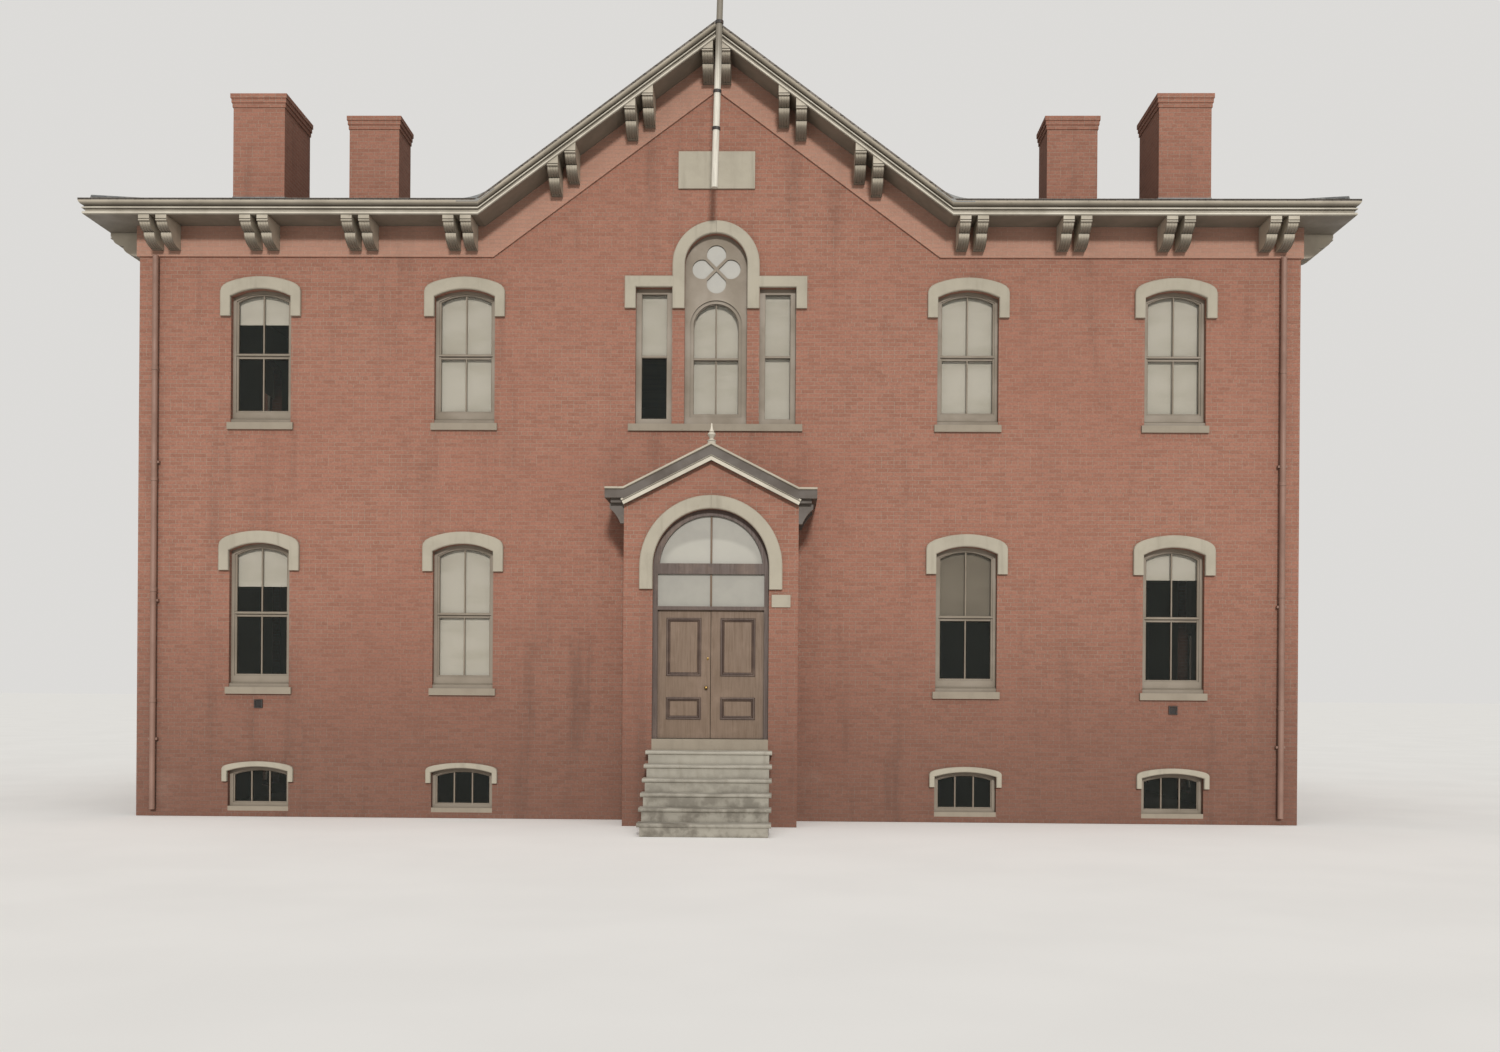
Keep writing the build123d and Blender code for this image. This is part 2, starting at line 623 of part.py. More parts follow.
def write_walls():
    """Front wall in pieces round the inner doorway, back wall with its gable, and the two side walls."""
    inner_front = FRONT + WALL_THICKNESS
    inner_back = BACK - WALL_THICKNESS
    doorway_half = INNER_DOORWAY_WIDTH / 2
    wings = {"front_wall_left": -1, "front_wall_right": 1}
    for name, side in wings.items():
        wing = front_panel([(side * x, z) for x, z in wing_outline()], FRONT, inner_front)
        positions = [along for along in WING_POSITIONS if along * side > 0]
        write(wing - wall_cuts("front", positions), name)
    base = block(-CENTRE_BAY_HALF, CENTRE_BAY_HALF, FRONT, inner_front, 0, GROUND_FLOOR_LEVEL)
    write(base, "front_wall_base")
    piers = []
    for side in (-1, 1):
        low, high = sorted((side * CENTRE_BAY_HALF, side * doorway_half))
        piers.append(block(low, high, FRONT, inner_front, GROUND_FLOOR_LEVEL, INNER_DOORWAY_HEAD))
    write(solids_of(piers), "front_wall_piers")
    upper = front_panel(gable_wall_outline(INNER_DOORWAY_HEAD, gable_under), FRONT, inner_front)
    write(upper - on_wall("front", 0, triple_cut()), "front_gable_wall")
    back = block(-HALF_LENGTH, HALF_LENGTH, inner_back, BACK, 0, EAVE_WALL_TOP)
    write(back - wall_cuts("back", BACK_POSITIONS), "back_wall")
    gable = [(-VALLEY_HALF, EAVE_WALL_TOP), (VALLEY_HALF, EAVE_WALL_TOP), (0, GABLE_UNDER_APEX)]
    write(front_panel(gable, inner_back, BACK), "back_gable_wall")
    side_walls = {"left_wall": -1, "right_wall": 1}
    for name, side in side_walls.items():
        low, high = sorted((side * HALF_LENGTH, side * (HALF_LENGTH - WALL_THICKNESS)))
        wall = block(low, high, inner_front, inner_back, 0, EAVE_WALL_TOP)
        write(wall - wall_cuts(name.split("_")[0], SIDE_POSITIONS), name)


def write_floors():
    """Floors that run between the inner faces of the walls."""
    levels = {
        "ground_floor": GROUND_FLOOR_LEVEL,
        "upper_floor": UPPER_FLOOR_LEVEL,
        "attic_floor": ATTIC_FLOOR_LEVEL,
    }
    half = HALF_LENGTH - WALL_THICKNESS
    inner_front = FRONT + WALL_THICKNESS
    inner_back = BACK - WALL_THICKNESS
    for name, level in levels.items():
        write(block(-half, half, inner_front, inner_back, level - FLOOR_THICKNESS, level), name)


# Cornice: one profile carried along the eaves and the raking edges, with mitred corners.

def eave_profile(back_rise):
    """Soffit, drip, fillet and cove crown, as (out, up) from the soffit's line on the wall."""
    fascia = CORNICE_OVERHANG - FASCIA_SET_BACK
    proud = fascia + FILLET_PROUD
    crown_middle = (
        (fascia + CORNICE_OVERHANG) / 2 + CROWN_BULGE,
        (CROWN_RISE + CORNICE_HEIGHT) / 2 - CROWN_BULGE,
    )
    lower = Polyline(
        (fascia, CROWN_RISE), (fascia, FILLET_RISE + FILLET_HEIGHT), (proud, FILLET_RISE + FILLET_HEIGHT),
        (proud, FILLET_RISE), (fascia, FILLET_RISE), (fascia, DRIP_HEIGHT), (proud, DRIP_HEIGHT), (proud, 0),
        (0, 0), (0, CORNICE_HEIGHT + back_rise), (CORNICE_OVERHANG, CORNICE_HEIGHT),
    )
    crown = ThreePointArc((CORNICE_OVERHANG, CORNICE_HEIGHT), crown_middle, (fascia, CROWN_RISE))
    return make_face([lower, crown])


def profile_run(profile, start, end, out):
    """Carry the upright profile from start to end. Runs that meet in one upright plane fit as they are."""
    plane = Plane(origin=start, x_dir=out, z_dir=out.cross(UP))
    way = end - start
    return extrude(plane * profile, way.length, dir=way.normalized())


def eave_corners(y):
    """Gable foot, apex and gable foot of the soffit line on the front or back wall."""
    return [
        Vector(-GABLE_HALF_WIDTH, y, SOFFIT_LEVEL), Vector(0, y, GABLE_SOFFIT_APEX),
        Vector(GABLE_HALF_WIDTH, y, SOFFIT_LEVEL),
    ]


def corner_cut(piece, x_side, y, keep):
    """Cut a piece on the upright mitre of a building corner and keep one side of it."""
    inward = 1 if y == FRONT else -1
    origin = Vector(x_side * HALF_LENGTH, y, SOFFIT_LEVEL)
    normal = Vector(-x_side, -inward, 0)
    return split(piece, bisect_by=Plane(origin=origin, z_dir=normal), keep=keep)


def write_cornices():
    """Cornices of the four wings' eaves, the two gables and the two sides."""
    flat = eave_profile(CORNICE_BACK_RISE)
    raking = eave_profile(0)
    reach = HALF_LENGTH + CORNICE_OVERHANG
    wings, rakes, sides = [], [], []
    for y, out in ((FRONT, Vector(0, -1, 0)), (BACK, Vector(0, 1, 0))):
        left_foot, apex, right_foot = eave_corners(y)
        for x_side, foot in ((-1, left_foot), (1, right_foot)):
            wing = profile_run(flat, foot, Vector(x_side * reach, y, SOFFIT_LEVEL), out)
            wings.append(corner_cut(wing, x_side, y, Keep.TOP))
        rakes.append(profile_run(raking, apex, left_foot, out) + profile_run(raking, apex, right_foot, out))
    for x_side in (-1, 1):
        near = Vector(x_side * HALF_LENGTH, FRONT - CORNICE_OVERHANG, SOFFIT_LEVEL)
        far = Vector(x_side * HALF_LENGTH, BACK + CORNICE_OVERHANG, SOFFIT_LEVEL)
        side = profile_run(flat, near, far, Vector(x_side, 0, 0))
        side = corner_cut(side, x_side, FRONT, Keep.BOTTOM)
        sides.append(corner_cut(side, x_side, BACK, Keep.BOTTOM))
    write(solids_of(wings), "eaves_cornice")
    write(solids_of(rakes), "gable_cornice")
    write(solids_of(sides), "side_cornice")


def write_friezes():
    """Frieze boards on the wall below the soffit: along the wings, up the two gables and along the sides."""
    foot = SOFFIT_LEVEL - FRIEZE_HEIGHT
    end = HALF_LENGTH + FRIEZE_THICKNESS
    wing = [(GABLE_HALF_WIDTH, SOFFIT_LEVEL), (GABLE_FRIEZE_HALF, foot), (end, foot), (end, SOFFIT_LEVEL)]
    chevron = [
        (-GABLE_HALF_WIDTH, SOFFIT_LEVEL), (0, GABLE_SOFFIT_APEX), (GABLE_HALF_WIDTH, SOFFIT_LEVEL),
        (GABLE_FRIEZE_HALF, foot), (0, GABLE_SOFFIT_APEX - RAKE_FRIEZE_HEIGHT), (-GABLE_FRIEZE_HALF, foot),
    ]
    wings, gables = [], []
    for wall in ("front", "back"):
        gables.append(on_wall(wall, 0, front_panel(chevron, -FRIEZE_THICKNESS, 0)))
        for side in (-1, 1):
            points = [(side * x, z) for x, z in wing]
            wings.append(on_wall(wall, 0, front_panel(points, -FRIEZE_THICKNESS, 0)))
    write(solids_of(wings), "eaves_frieze")
    write(solids_of(gables), "gable_frieze")
    half = BUILDING_DEPTH / 2
    board = block(-half, half, -FRIEZE_THICKNESS, 0, foot, SOFFIT_LEVEL)
    write(solids_of([on_wall("left", 0, board), on_wall("right", 0, board)]), "side_frieze")


def bracket(top_extra):
    """Two-tier scrolled console under the soffit, drawn on the front face with its top at z = 0."""
    root = -FRIEZE_THICKNESS
    tip = root - BRACKET_DEPTH
    upper = (tip + BRACKET_STEP, -BRACKET_BLOCK)
    waist = (root - BRACKET_NECK, -BRACKET_NECK_DROP)
    lower = (waist[0] - BRACKET_STEP, waist[1])
    foot = (root - BRACKET_FOOT, -BRACKET_HEIGHT)
    points = [
        (root, -BRACKET_HEIGHT), (root, top_extra), (tip, top_extra), (tip, -BRACKET_BLOCK), upper,
        *bow(upper, waist, -BRACKET_BELLY, BRACKET_CHORDS), waist, lower,
        *bow(lower, foot, -BRACKET_BELLY, BRACKET_CHORDS), foot,
    ]
    return side_panel(points, -BRACKET_WIDTH / 2, BRACKET_WIDTH / 2)


def bracket_pair(wall, along):
    """Two brackets side by side under a level soffit."""
    pieces = []
    for side in (-1, 1):
        pieces.append(on_wall(wall, along + side * PAIR_SPACING / 2, Pos(0, 0, SOFFIT_LEVEL) * bracket(0)))
    return pieces


def rake_brackets(wall):
    """Upright brackets under the raking soffit, their tops cut to its slope."""
    pieces = []
    for step in range(-RAKE_PAIR_STEPS, RAKE_PAIR_STEPS + 1):
        for side in (-1, 1):
            x = step * RAKE_PAIR_PITCH + side * PAIR_SPACING / 2
            level = GABLE_SOFFIT_APEX - abs(x) * GABLE_SLOPE
            piece = Pos(x, 0, level) * bracket(BRACKET_WIDTH)
            down = Vector(-math.copysign(GABLE_SLOPE, x), 0, -1)
            cut = Plane(origin=(x, 0, level), z_dir=down)
            pieces.append(on_wall(wall, 0, split(piece, bisect_by=cut, keep=Keep.TOP)))
    return pieces


def wing_brackets(wall):
    """Pairs along both wings of the front or back."""
    pieces = []
    for index in range(WING_PAIR_COUNT):
        for side in (-1, 1):
            pieces.extend(bracket_pair(wall, side * (WING_PAIR_START + index * WING_PAIR_PITCH)))
    return pieces


def side_brackets(wall):
    """Pairs along a side wall, spaced as on the wings and centred."""
    pieces = []
    for index in range(SIDE_PAIR_COUNT):
        along = (index - (SIDE_PAIR_COUNT - 1) / 2) * WING_PAIR_PITCH
        pieces.extend(bracket_pair(wall, along))
    return pieces


def write_brackets():
    """Brackets of the eaves on all four sides, and those under the two gables."""
    level = wing_brackets("front") + wing_brackets("back") + side_brackets("left") + side_brackets("right")
    write(solids_of(level), "eaves_brackets")
    write(solids_of(rake_brackets("front") + rake_brackets("back")), "gable_brackets")


# Roofs: a low hip over the whole plan, crossed by the steeper gable roof.

def hip_block(level, floor):
    """Solid below a hipped roof whose edge is at the stated level."""
    half_depth = BUILDING_DEPTH / 2 + CORNICE_OVERHANG
    half_length = HALF_LENGTH + CORNICE_OVERHANG
    ridge = level + half_depth * WING_SLOPE
    along = side_panel(
        [
            (MIDDLE - half_depth, floor), (MIDDLE - half_depth, level), (MIDDLE, ridge),
            (MIDDLE + half_depth, level), (MIDDLE + half_depth, floor),
        ],
        -half_length, half_length,
    )
    flat_half = half_length - half_depth
    across = front_panel(
        [
            (-half_length, floor), (-half_length, level), (-flat_half, ridge), (flat_half, ridge),
            (half_length, level), (half_length, floor),
        ],
        MIDDLE - half_depth, MIDDLE + half_depth,
    )
    return along & across


def gable_block(apex, floor):
    """Solid below a gable roof that runs from front to back."""
    reach = (apex - floor) / GABLE_SLOPE
    return front_panel(
        [(-reach, floor), (0, apex), (reach, floor)], FRONT - CORNICE_OVERHANG, BACK + CORNICE_OVERHANG
    )


def write_roofs():
    """Two wing roofs and the gable roof, each a shell that stops at the valleys."""
    attic = SOFFIT_LEVEL - FRIEZE_HEIGHT
    hip = hip_block(EAVE_TOP, attic)
    hip_shell = hip - hip_block(EAVE_TOP - WING_ROOF_EDGE, attic - FRIEZE_HEIGHT)
    gable = gable_block(GABLE_TOP_APEX, attic)
    reach = HALF_LENGTH + CORNICE_OVERHANG
    wings = []
    for side in (-1, 1):
        low, high = sorted((0, side * reach))
        half = block(low, high, FRONT - CORNICE_OVERHANG, BACK + CORNICE_OVERHANG, attic, GABLE_TOP_APEX)
        wings.append((hip_shell & half) - gable)
    write(solids_of(wings), "wing_roofs")
    gable_shell = gable - gable_block(GABLE_UNDER_APEX, attic - FRIEZE_HEIGHT)
    write(gable_shell - hip, "gable_roof")


def chimney(x, setback, width, depth):
    """Brick stack that stands on the wing roof, with a corbelled cap and two flues."""
    y = FRONT + setback
    stack = block(x, x + width, y, y + depth, SOFFIT_LEVEL, CHIMNEY_TOP)
    course = CHIMNEY_CAP_HEIGHT / CHIMNEY_CAP_COURSES
    for index in range(CHIMNEY_CAP_COURSES):
        proud = CHIMNEY_CAP_PROUD * (index + 1) / CHIMNEY_CAP_COURSES
        foot = CHIMNEY_TOP - CHIMNEY_CAP_HEIGHT + index * course
        stack += block(x - proud, x + width + proud, y - proud, y + depth + proud, foot, foot + course)
    for part in (-1, 1):
        centre = y + depth / 2 + part * depth / 4
        stack -= block(
            x + (width - FLUE_SIZE) / 2, x + (width + FLUE_SIZE) / 2,
            centre - FLUE_SIZE / 2, centre + FLUE_SIZE / 2, CHIMNEY_TOP - FLUE_DEPTH, CHIMNEY_TOP,
        )
    return stack


def write_chimneys():
    """Two stacks on the right wing and their mirror images on the left."""
    roof = hip_block(EAVE_TOP, SOFFIT_LEVEL - FRIEZE_HEIGHT)
    stacks = [
        chimney(INNER_CHIMNEY_X, INNER_CHIMNEY_SETBACK, INNER_CHIMNEY_WIDTH, INNER_CHIMNEY_DEPTH) - roof,
        chimney(OUTER_CHIMNEY_X, OUTER_CHIMNEY_SETBACK, OUTER_CHIMNEY_WIDTH, OUTER_CHIMNEY_DEPTH) - roof,
    ]
    mirrored = [mirror(stack, about=Plane.YZ) for stack in stacks]
    write(solids_of(stacks + mirrored), "chimneys")


# Flagpole, its irons, and the tablet

POLE_OUT = CORNICE_OVERHANG + POLE_CLEARANCE + POLE_FOOT_RADIUS


def pole_truck():
    """Bevelled disc on the top of the pole."""
    rim = POLE_TRUCK_RADIUS - POLE_TRUCK_BEVEL
    half = POLE_TRUCK_HEIGHT / 2
    lower = tapered(rim, POLE_TRUCK_RADIUS, half, ROUND_SIDES)
    upper = Pos(0, 0, half) * tapered(POLE_TRUCK_RADIUS, rim, half, ROUND_SIDES)
    return lower + upper


def pole_iron(lean, y, level, back):
    """Band round the pole at a level, and the flat arm behind it that ends at a wall or a crown."""
    ring = POLE_FOOT_RADIUS + POLE_COLLAR
    half = POLE_IRON / 2
    rise = level - POLE_FOOT
    x = rise * math.sin(math.radians(POLE_LEAN))
    band = lean * Pos(0, 0, rise - half) * tapered(ring, ring, POLE_IRON, ROUND_SIDES)
    return band + block(x - half / 2, x + half / 2, y, back, level - half, level + half)


def write_gable_pieces():
    """Blank tablet, leaning flagpole in front of the gable, and the irons that hold it."""
    half = TABLET_WIDTH / 2
    tablet_top = TABLET_FOOT + TABLET_HEIGHT
    write(block(-half, half, FRONT - TABLET_THICKNESS, FRONT, TABLET_FOOT, tablet_top), "gable_tablet")
    y = FRONT - POLE_OUT
    lean = Pos(0, y, POLE_FOOT) * Rot(0, POLE_LEAN, 0)
    pole = tapered(POLE_FOOT_RADIUS, POLE_TOP_RADIUS, POLE_LENGTH, ROUND_SIDES)
    pole = lean * (pole + Pos(0, 0, POLE_LENGTH) * pole_truck())
    write(pole, "flagpole")
    irons = [pole_iron(lean, y, GABLE_UNDER_APEX - POLE_IRON, FRONT - CORNICE_OVERHANG) - pole]
    for index in range(POLE_ARM_COUNT):
        level = tablet_top + POLE_ARM_GAP + index * POLE_ARM_PITCH
        irons.append(pole_iron(lean, y, level, FRONT) - pole)
    write(solids_of(irons), "flagpole_irons")


# Porch

def porch_under(x):
    """Level of the porch roof's underside at a distance x from the middle."""
    return PORCH_RIDGE_TOP - PORCH_ROOF_EDGE - abs(x) * PORCH_SLOPE


def doorway(y_low, y_high, foot):
    """Round-headed opening of the porch front."""
    return arched(DOORWAY_WIDTH, foot, ARCH_SPRING, DOORWAY_WIDTH / 2, y_low, y_high)


def write_porch_walls():
    """Two side walls, two front piers and the arched front above them, and the porch floor."""
    front_back = PORCH_FACE + PORCH_WALL
    doorway_half = DOORWAY_WIDTH / 2
    walls, piers = [], []
    for side in (-1, 1):
        low, high = sorted((side * PORCH_HALF, side * (PORCH_HALF - PORCH_WALL)))
        walls.append(block(low, high, front_back, FRONT, 0, PORCH_WALL_TOP))
        low, high = sorted((side * PORCH_HALF, side * doorway_half))
        piers.append(block(low, high, PORCH_FACE, front_back, 0, ARCH_SPRING))
    write(solids_of(walls), "porch_side_walls")
    write(solids_of(piers), "porch_piers")
    head = front_panel(
        [
            (-PORCH_HALF, ARCH_SPRING), (PORCH_HALF, ARCH_SPRING), (PORCH_HALF, porch_under(PORCH_HALF)),
            (0, porch_under(0)), (-PORCH_HALF, porch_under(PORCH_HALF)),
        ],
        PORCH_FACE, front_back,
    )
    write(head - doorway(PORCH_FACE, front_back, ARCH_SPRING - PORCH_WALL), "porch_arch_wall")
    inner_half = PORCH_HALF - PORCH_WALL
    floor_foot = GROUND_FLOOR_LEVEL - FLOOR_THICKNESS
    write(block(-inner_half, inner_half, front_back, FRONT, floor_foot, GROUND_FLOOR_LEVEL), "porch_floor")


def write_porch_roof():
    """Gabled roof, raking cornice, side eaves with brackets, arch hood and finial."""
    y_low = PORCH_FACE - PORCH_FRONT_OVERHANG
    top = [(-PORCH_HALF, PORCH_EAVE_TOP), (0, PORCH_RIDGE_TOP), (PORCH_HALF, PORCH_EAVE_TOP)]
    under = [(PORCH_HALF, PORCH_WALL_TOP), (0, porch_under(0)), (-PORCH_HALF, PORCH_WALL_TOP)]
    write(front_panel(top + under, y_low, FRONT), "porch_roof")
    vertical = PORCH_CORNICE_HEIGHT / math.cos(math.radians(PORCH_PITCH))
    bed = PORCH_BED_HEIGHT / math.cos(math.radians(PORCH_PITCH))
    raking = []
    for drop, depth in ((vertical - bed, PORCH_FRONT_OVERHANG), (vertical, PORCH_BED_OUT)):
        upper = [(-PORCH_HALF, PORCH_WALL_TOP), (0, porch_under(0)), (PORCH_HALF, PORCH_WALL_TOP)]
        lower = [(x, level - drop) for x, level in reversed(upper)]
        raking.append(front_panel(upper + lower, PORCH_FACE - depth, PORCH_FACE))
    cornice = raking[0] + raking[1]
    foot = PORCH_WALL_TOP - PORCH_CORNICE_HEIGHT
    for side in (-1, 1):
        low, high = sorted((side * PORCH_HALF, side * (PORCH_HALF + PORCH_EAVE_OVERHANG)))
        cornice += block(low, high, y_low, FRONT, foot + PORCH_BED_HEIGHT, PORCH_EAVE_TOP)
        low, high = sorted((side * PORCH_HALF, side * (PORCH_HALF + PORCH_EAVE_OVERHANG - FASCIA_SET_BACK)))
        cornice += block(low, high, y_low + FASCIA_SET_BACK, FRONT, foot, foot + PORCH_BED_HEIGHT)
    write(cornice, "porch_cornice")
    write(solids_of(porch_brackets(foot)), "porch_brackets")
    band = DOORWAY_WIDTH / 2 + ARCH_BAND
    hood = arched(2 * band, ARCH_FOOT, ARCH_SPRING, band, PORCH_FACE - ARCH_PROJECTION, PORCH_FACE)
    hood -= doorway(PORCH_FACE - ARCH_PROJECTION, PORCH_FACE, ARCH_FOOT - ARCH_BAND)
    write(hood, "porch_arch_hood")
    write(finial(y_low), "porch_finial")


def porch_brackets(top):
    """Two brackets under each side eave of the porch."""
    pieces = []
    for side in (-1, 1):
        face = side * PORCH_HALF
        tip = face + side * PORCH_BRACKET_DEPTH
        heel = face + side * PORCH_BRACKET_HEEL
        hollow = face + side * (PORCH_BRACKET_DEPTH - PORCH_BRACKET_NOSE - PORCH_BRACKET_HOLLOW)
        for y in (PORCH_FACE, FRONT - PORCH_BRACKET_WIDTH - PORCH_BRACKET_DEPTH):
            outline = Polyline(
                (heel, y, top - PORCH_BRACKET_HEIGHT), (face, y, top - PORCH_BRACKET_HEIGHT),
                (face, y, top), (tip, y, top), (tip, y, top - PORCH_BRACKET_NOSE),
            )
            scroll = ThreePointArc(
                (tip, y, top - PORCH_BRACKET_NOSE),
                (hollow, y, top - PORCH_BRACKET_HOLLOW_DROP),
                (heel, y, top - PORCH_BRACKET_HEIGHT),
            )
            pieces.append(extrude(make_face([outline, scroll]), PORCH_BRACKET_WIDTH, dir=(0, 1, 0)))
    return pieces


def finial(y):
    """Finial on the front end of the porch ridge: a base, a swelling stage and a spike."""
    radius = PORCH_FINIAL_RADIUS
    waist = radius / 2
    stages = [(radius, radius), (waist, radius), (radius, waist), (waist, waist / 4)]
    height = PORCH_FINIAL_HEIGHT / len(stages)
    turned = None
    for index, (foot_radius, top_radius) in enumerate(stages):
        stage = Pos(0, 0, index * height) * tapered(foot_radius, top_radius, height, FINIAL_SIDES)
        turned = stage if turned is None else turned + stage
    place = Pos(0, y + 2 * radius, PORCH_RIDGE_TOP - radius * PORCH_SLOPE)
    ridge = front_panel(
        [(-PORCH_HALF, PORCH_EAVE_TOP), (0, PORCH_RIDGE_TOP), (PORCH_HALF, PORCH_EAVE_TOP)], y, FRONT
    )
    return place * turned - ridge


# Doorway: frame, glass, two leaves and their knob

FRAME_FACE = PORCH_FACE + FRAME_RECESS
FRAME_REAR = FRAME_FACE + FRAME_DEPTH
LEAF_FACE = FRAME_REAR - DOOR_THICKNESS
DOOR_OPENING = DOORWAY_WIDTH - 2 * FRAME_JAMB
LEAF_WIDTH = (DOOR_OPENING - 2 * DOOR_GAP - DOOR_MEETING_GAP) / 2
LEAF_FOOT = GROUND_FLOOR_LEVEL + DOOR_FLOOR_GAP
LEAF_HEAD = DOOR_HEAD - DOOR_GAP
HINGE_X = DOOR_OPENING / 2 - DOOR_GAP
HINGE_LEVELS = [LEAF_FOOT + HINGE_END, (LEAF_FOOT + LEAF_HEAD) / 2, LEAF_HEAD - HINGE_END]


def write_door_frame():
    """Arched frame with stops, a bar over the doors, two top lights and a fanlight."""
    frame = doorway(FRAME_FACE, FRAME_REAR, GROUND_FLOOR_LEVEL)
    half = DOOR_OPENING / 2
    frame -= block(-half, half, LEAF_FACE - DOOR_GAP, FRAME_REAR, GROUND_FLOOR_LEVEL, DOOR_HEAD)
    stop = half - FRAME_STOP
    frame -= block(-stop, stop, FRAME_FACE, FRAME_REAR, GROUND_FLOOR_LEVEL, DOOR_HEAD - FRAME_STOP)
    frame -= block(-stop, stop, FRAME_FACE, FRAME_REAR, DOOR_HEAD + DOOR_BAR, TRANSOM_FOOT)
    radius = DOORWAY_WIDTH / 2 - ARCH_FRAME
    crown = ARCH_SPRING + radius
    disc = Pos(0, (FRAME_FACE + FRAME_REAR) / 2, ARCH_SPRING) * Rot(90, 0, 0) * Cylinder(radius, FRAME_DEPTH)
    fan = disc & block(-radius, radius, FRAME_FACE, FRAME_REAR, TRANSOM_HEAD, crown)
    write(frame - fan, "door_frame")
    y_low = FRAME_FACE + FRAME_DEPTH / 2
    y_high = y_low + GLASS_THICKNESS
    lights = block(-stop, stop, y_low, y_high, DOOR_HEAD + DOOR_BAR, TRANSOM_FOOT)
    pane = fan & block(-radius, radius, y_low, y_high, TRANSOM_HEAD, crown)
    write(solids_of([lights, pane]), "fanlight_glass")


def panel_cuts(x_low, x_high, z_low, z_high):
    """Sunk panel on both faces of a leaf, with a raised field in its middle."""
    cuts = []
    for y_low, y_high, field_low, field_high in (
        (LEAF_FACE, LEAF_FACE + PANEL_SINK, LEAF_FACE + PANEL_SINK - PANEL_RAISE, LEAF_FACE + PANEL_SINK),
        (FRAME_REAR - PANEL_SINK, FRAME_REAR, FRAME_REAR - PANEL_SINK, FRAME_REAR - PANEL_SINK + PANEL_RAISE),
    ):
        sunk = block(x_low, x_high, y_low, y_high, z_low, z_high)
        field = block(
            x_low + PANEL_MARGIN, x_high - PANEL_MARGIN, field_low, field_high,
            z_low + PANEL_MARGIN, z_high - PANEL_MARGIN,
        )
        cuts.append(sunk - field)
    return cuts


def door_leaf(side):
    """Door leaf with a small lower panel and a tall upper one."""
    low, high = sorted((side * HINGE_X, side * (HINGE_X - LEAF_WIDTH)))
    leaf = block(low, high, LEAF_FACE, FRAME_REAR, LEAF_FOOT, LEAF_HEAD)
    lock_rail = LEAF_FOOT + LOCK_RAIL_FOOT
    lower = panel_cuts(low + DOOR_STILE, high - DOOR_STILE, LEAF_FOOT + DOOR_BOTTOM_RAIL, lock_rail)
    upper = panel_cuts(
        low + DOOR_STILE, high - DOOR_STILE, lock_rail + LOCK_RAIL_HEIGHT, LEAF_HEAD - DOOR_TOP_RAIL
    )
    return leaf - lower - upper


def door_knob():
    """Turned knobs on both faces of the left leaf, on the lock rail beside the meeting edge."""
    x = -HINGE_X + LEAF_WIDTH - KNOB_INSET
    z = LEAF_FOOT + KNOB_HEIGHT
    belly = (KNOB_REACH - KNOB_NECK_LENGTH) / 2
    rim = KNOB_RADIUS * math.cos(math.radians(KNOB_BEVEL))
    knob = tapered(KNOB_NECK, KNOB_NECK, KNOB_NECK_LENGTH, KNOB_SIDES)
    knob += Pos(0, 0, KNOB_NECK_LENGTH) * tapered(rim, KNOB_RADIUS, belly, KNOB_SIDES)
    knob += Pos(0, 0, KNOB_NECK_LENGTH + belly) * tapered(KNOB_RADIUS, rim, belly, KNOB_SIDES)
    return [Pos(x, LEAF_FACE, z) * Rot(90, 0, 0) * knob, Pos(x, FRAME_REAR, z) * Rot(-90, 0, 0) * knob]


def write_hinges():
    """Three upright pins a leaf at its inner corner, which stand against the frame's jambs."""
    jamb = DOOR_OPENING / 2
    pins = []
    for side in (-1, 1):
        low, high = sorted((side * jamb, side * DOORWAY_WIDTH / 2))
        frame = block(low, high, FRAME_FACE, FRAME_REAR, GROUND_FLOOR_LEVEL, DOOR_HEAD)
        for level in HINGE_LEVELS:
            pin = tapered(HINGE_RADIUS, HINGE_RADIUS, HINGE_HEIGHT, ROUND_SIDES)
            pins.append(Pos(side * HINGE_X, FRAME_REAR, level - HINGE_HEIGHT / 2) * pin - frame)
    write(solids_of(pins), "door_hinges")


def write_doors():
    """Two leaves that open inwards, hollowed for their hinge pins, the knob on the left one, and the sill."""
    hole = Cylinder(HINGE_RADIUS + HINGE_CLEARANCE, HINGE_HEIGHT + 2 * HINGE_CLEARANCE)
    for side, name in ((-1, "left_door"), (1, "right_door")):
        leaf = door_leaf(side)
        for level in HINGE_LEVELS:
            leaf -= Pos(side * HINGE_X, FRAME_REAR, level) * hole
        write(leaf, name)
    write(solids_of(door_knob()), "door_knob")
    half = DOORWAY_WIDTH / 2
    sill = block(-half, half, PORCH_FACE, PORCH_FACE + PORCH_WALL, LANDING_LEVEL, GROUND_FLOOR_LEVEL)
    write(sill, "door_sill")


# Steps: a brick flight with separate stone treads

def write_steps():
    """Brick core under the doorway and down to the ground, and the stone treads on it."""
    half = STEPS_WIDTH / 2
    rear = PORCH_FACE + PORCH_WALL
    threshold_half = DOORWAY_WIDTH / 2
    edge = PORCH_FACE - LANDING_DEPTH
    profile = [(PORCH_FACE, 0), (PORCH_FACE, LANDING_LEVEL - TREAD_THICKNESS)]
    treads = []
    for index in range(STEP_COUNT):
        top = LANDING_LEVEL - index * STEP_RISE
        front = edge - index * STEP_GOING
        back = PORCH_FACE if index == 0 else front + STEP_GOING
        tread_half = half + TREAD_SIDE_NOSING
        treads.append(
            block(-tread_half, tread_half, front - TREAD_NOSING, back, top - TREAD_THICKNESS, top)
        )
        profile.append((front, top - TREAD_THICKNESS))
        profile.append((front, max(top - STEP_RISE - TREAD_THICKNESS, 0)))
    under_door = block(-threshold_half, threshold_half, PORCH_FACE, rear, 0, LANDING_LEVEL)
    write(side_panel(profile, -half, half) + under_door, "steps_base")
    write(solids_of(treads), "step_treads")


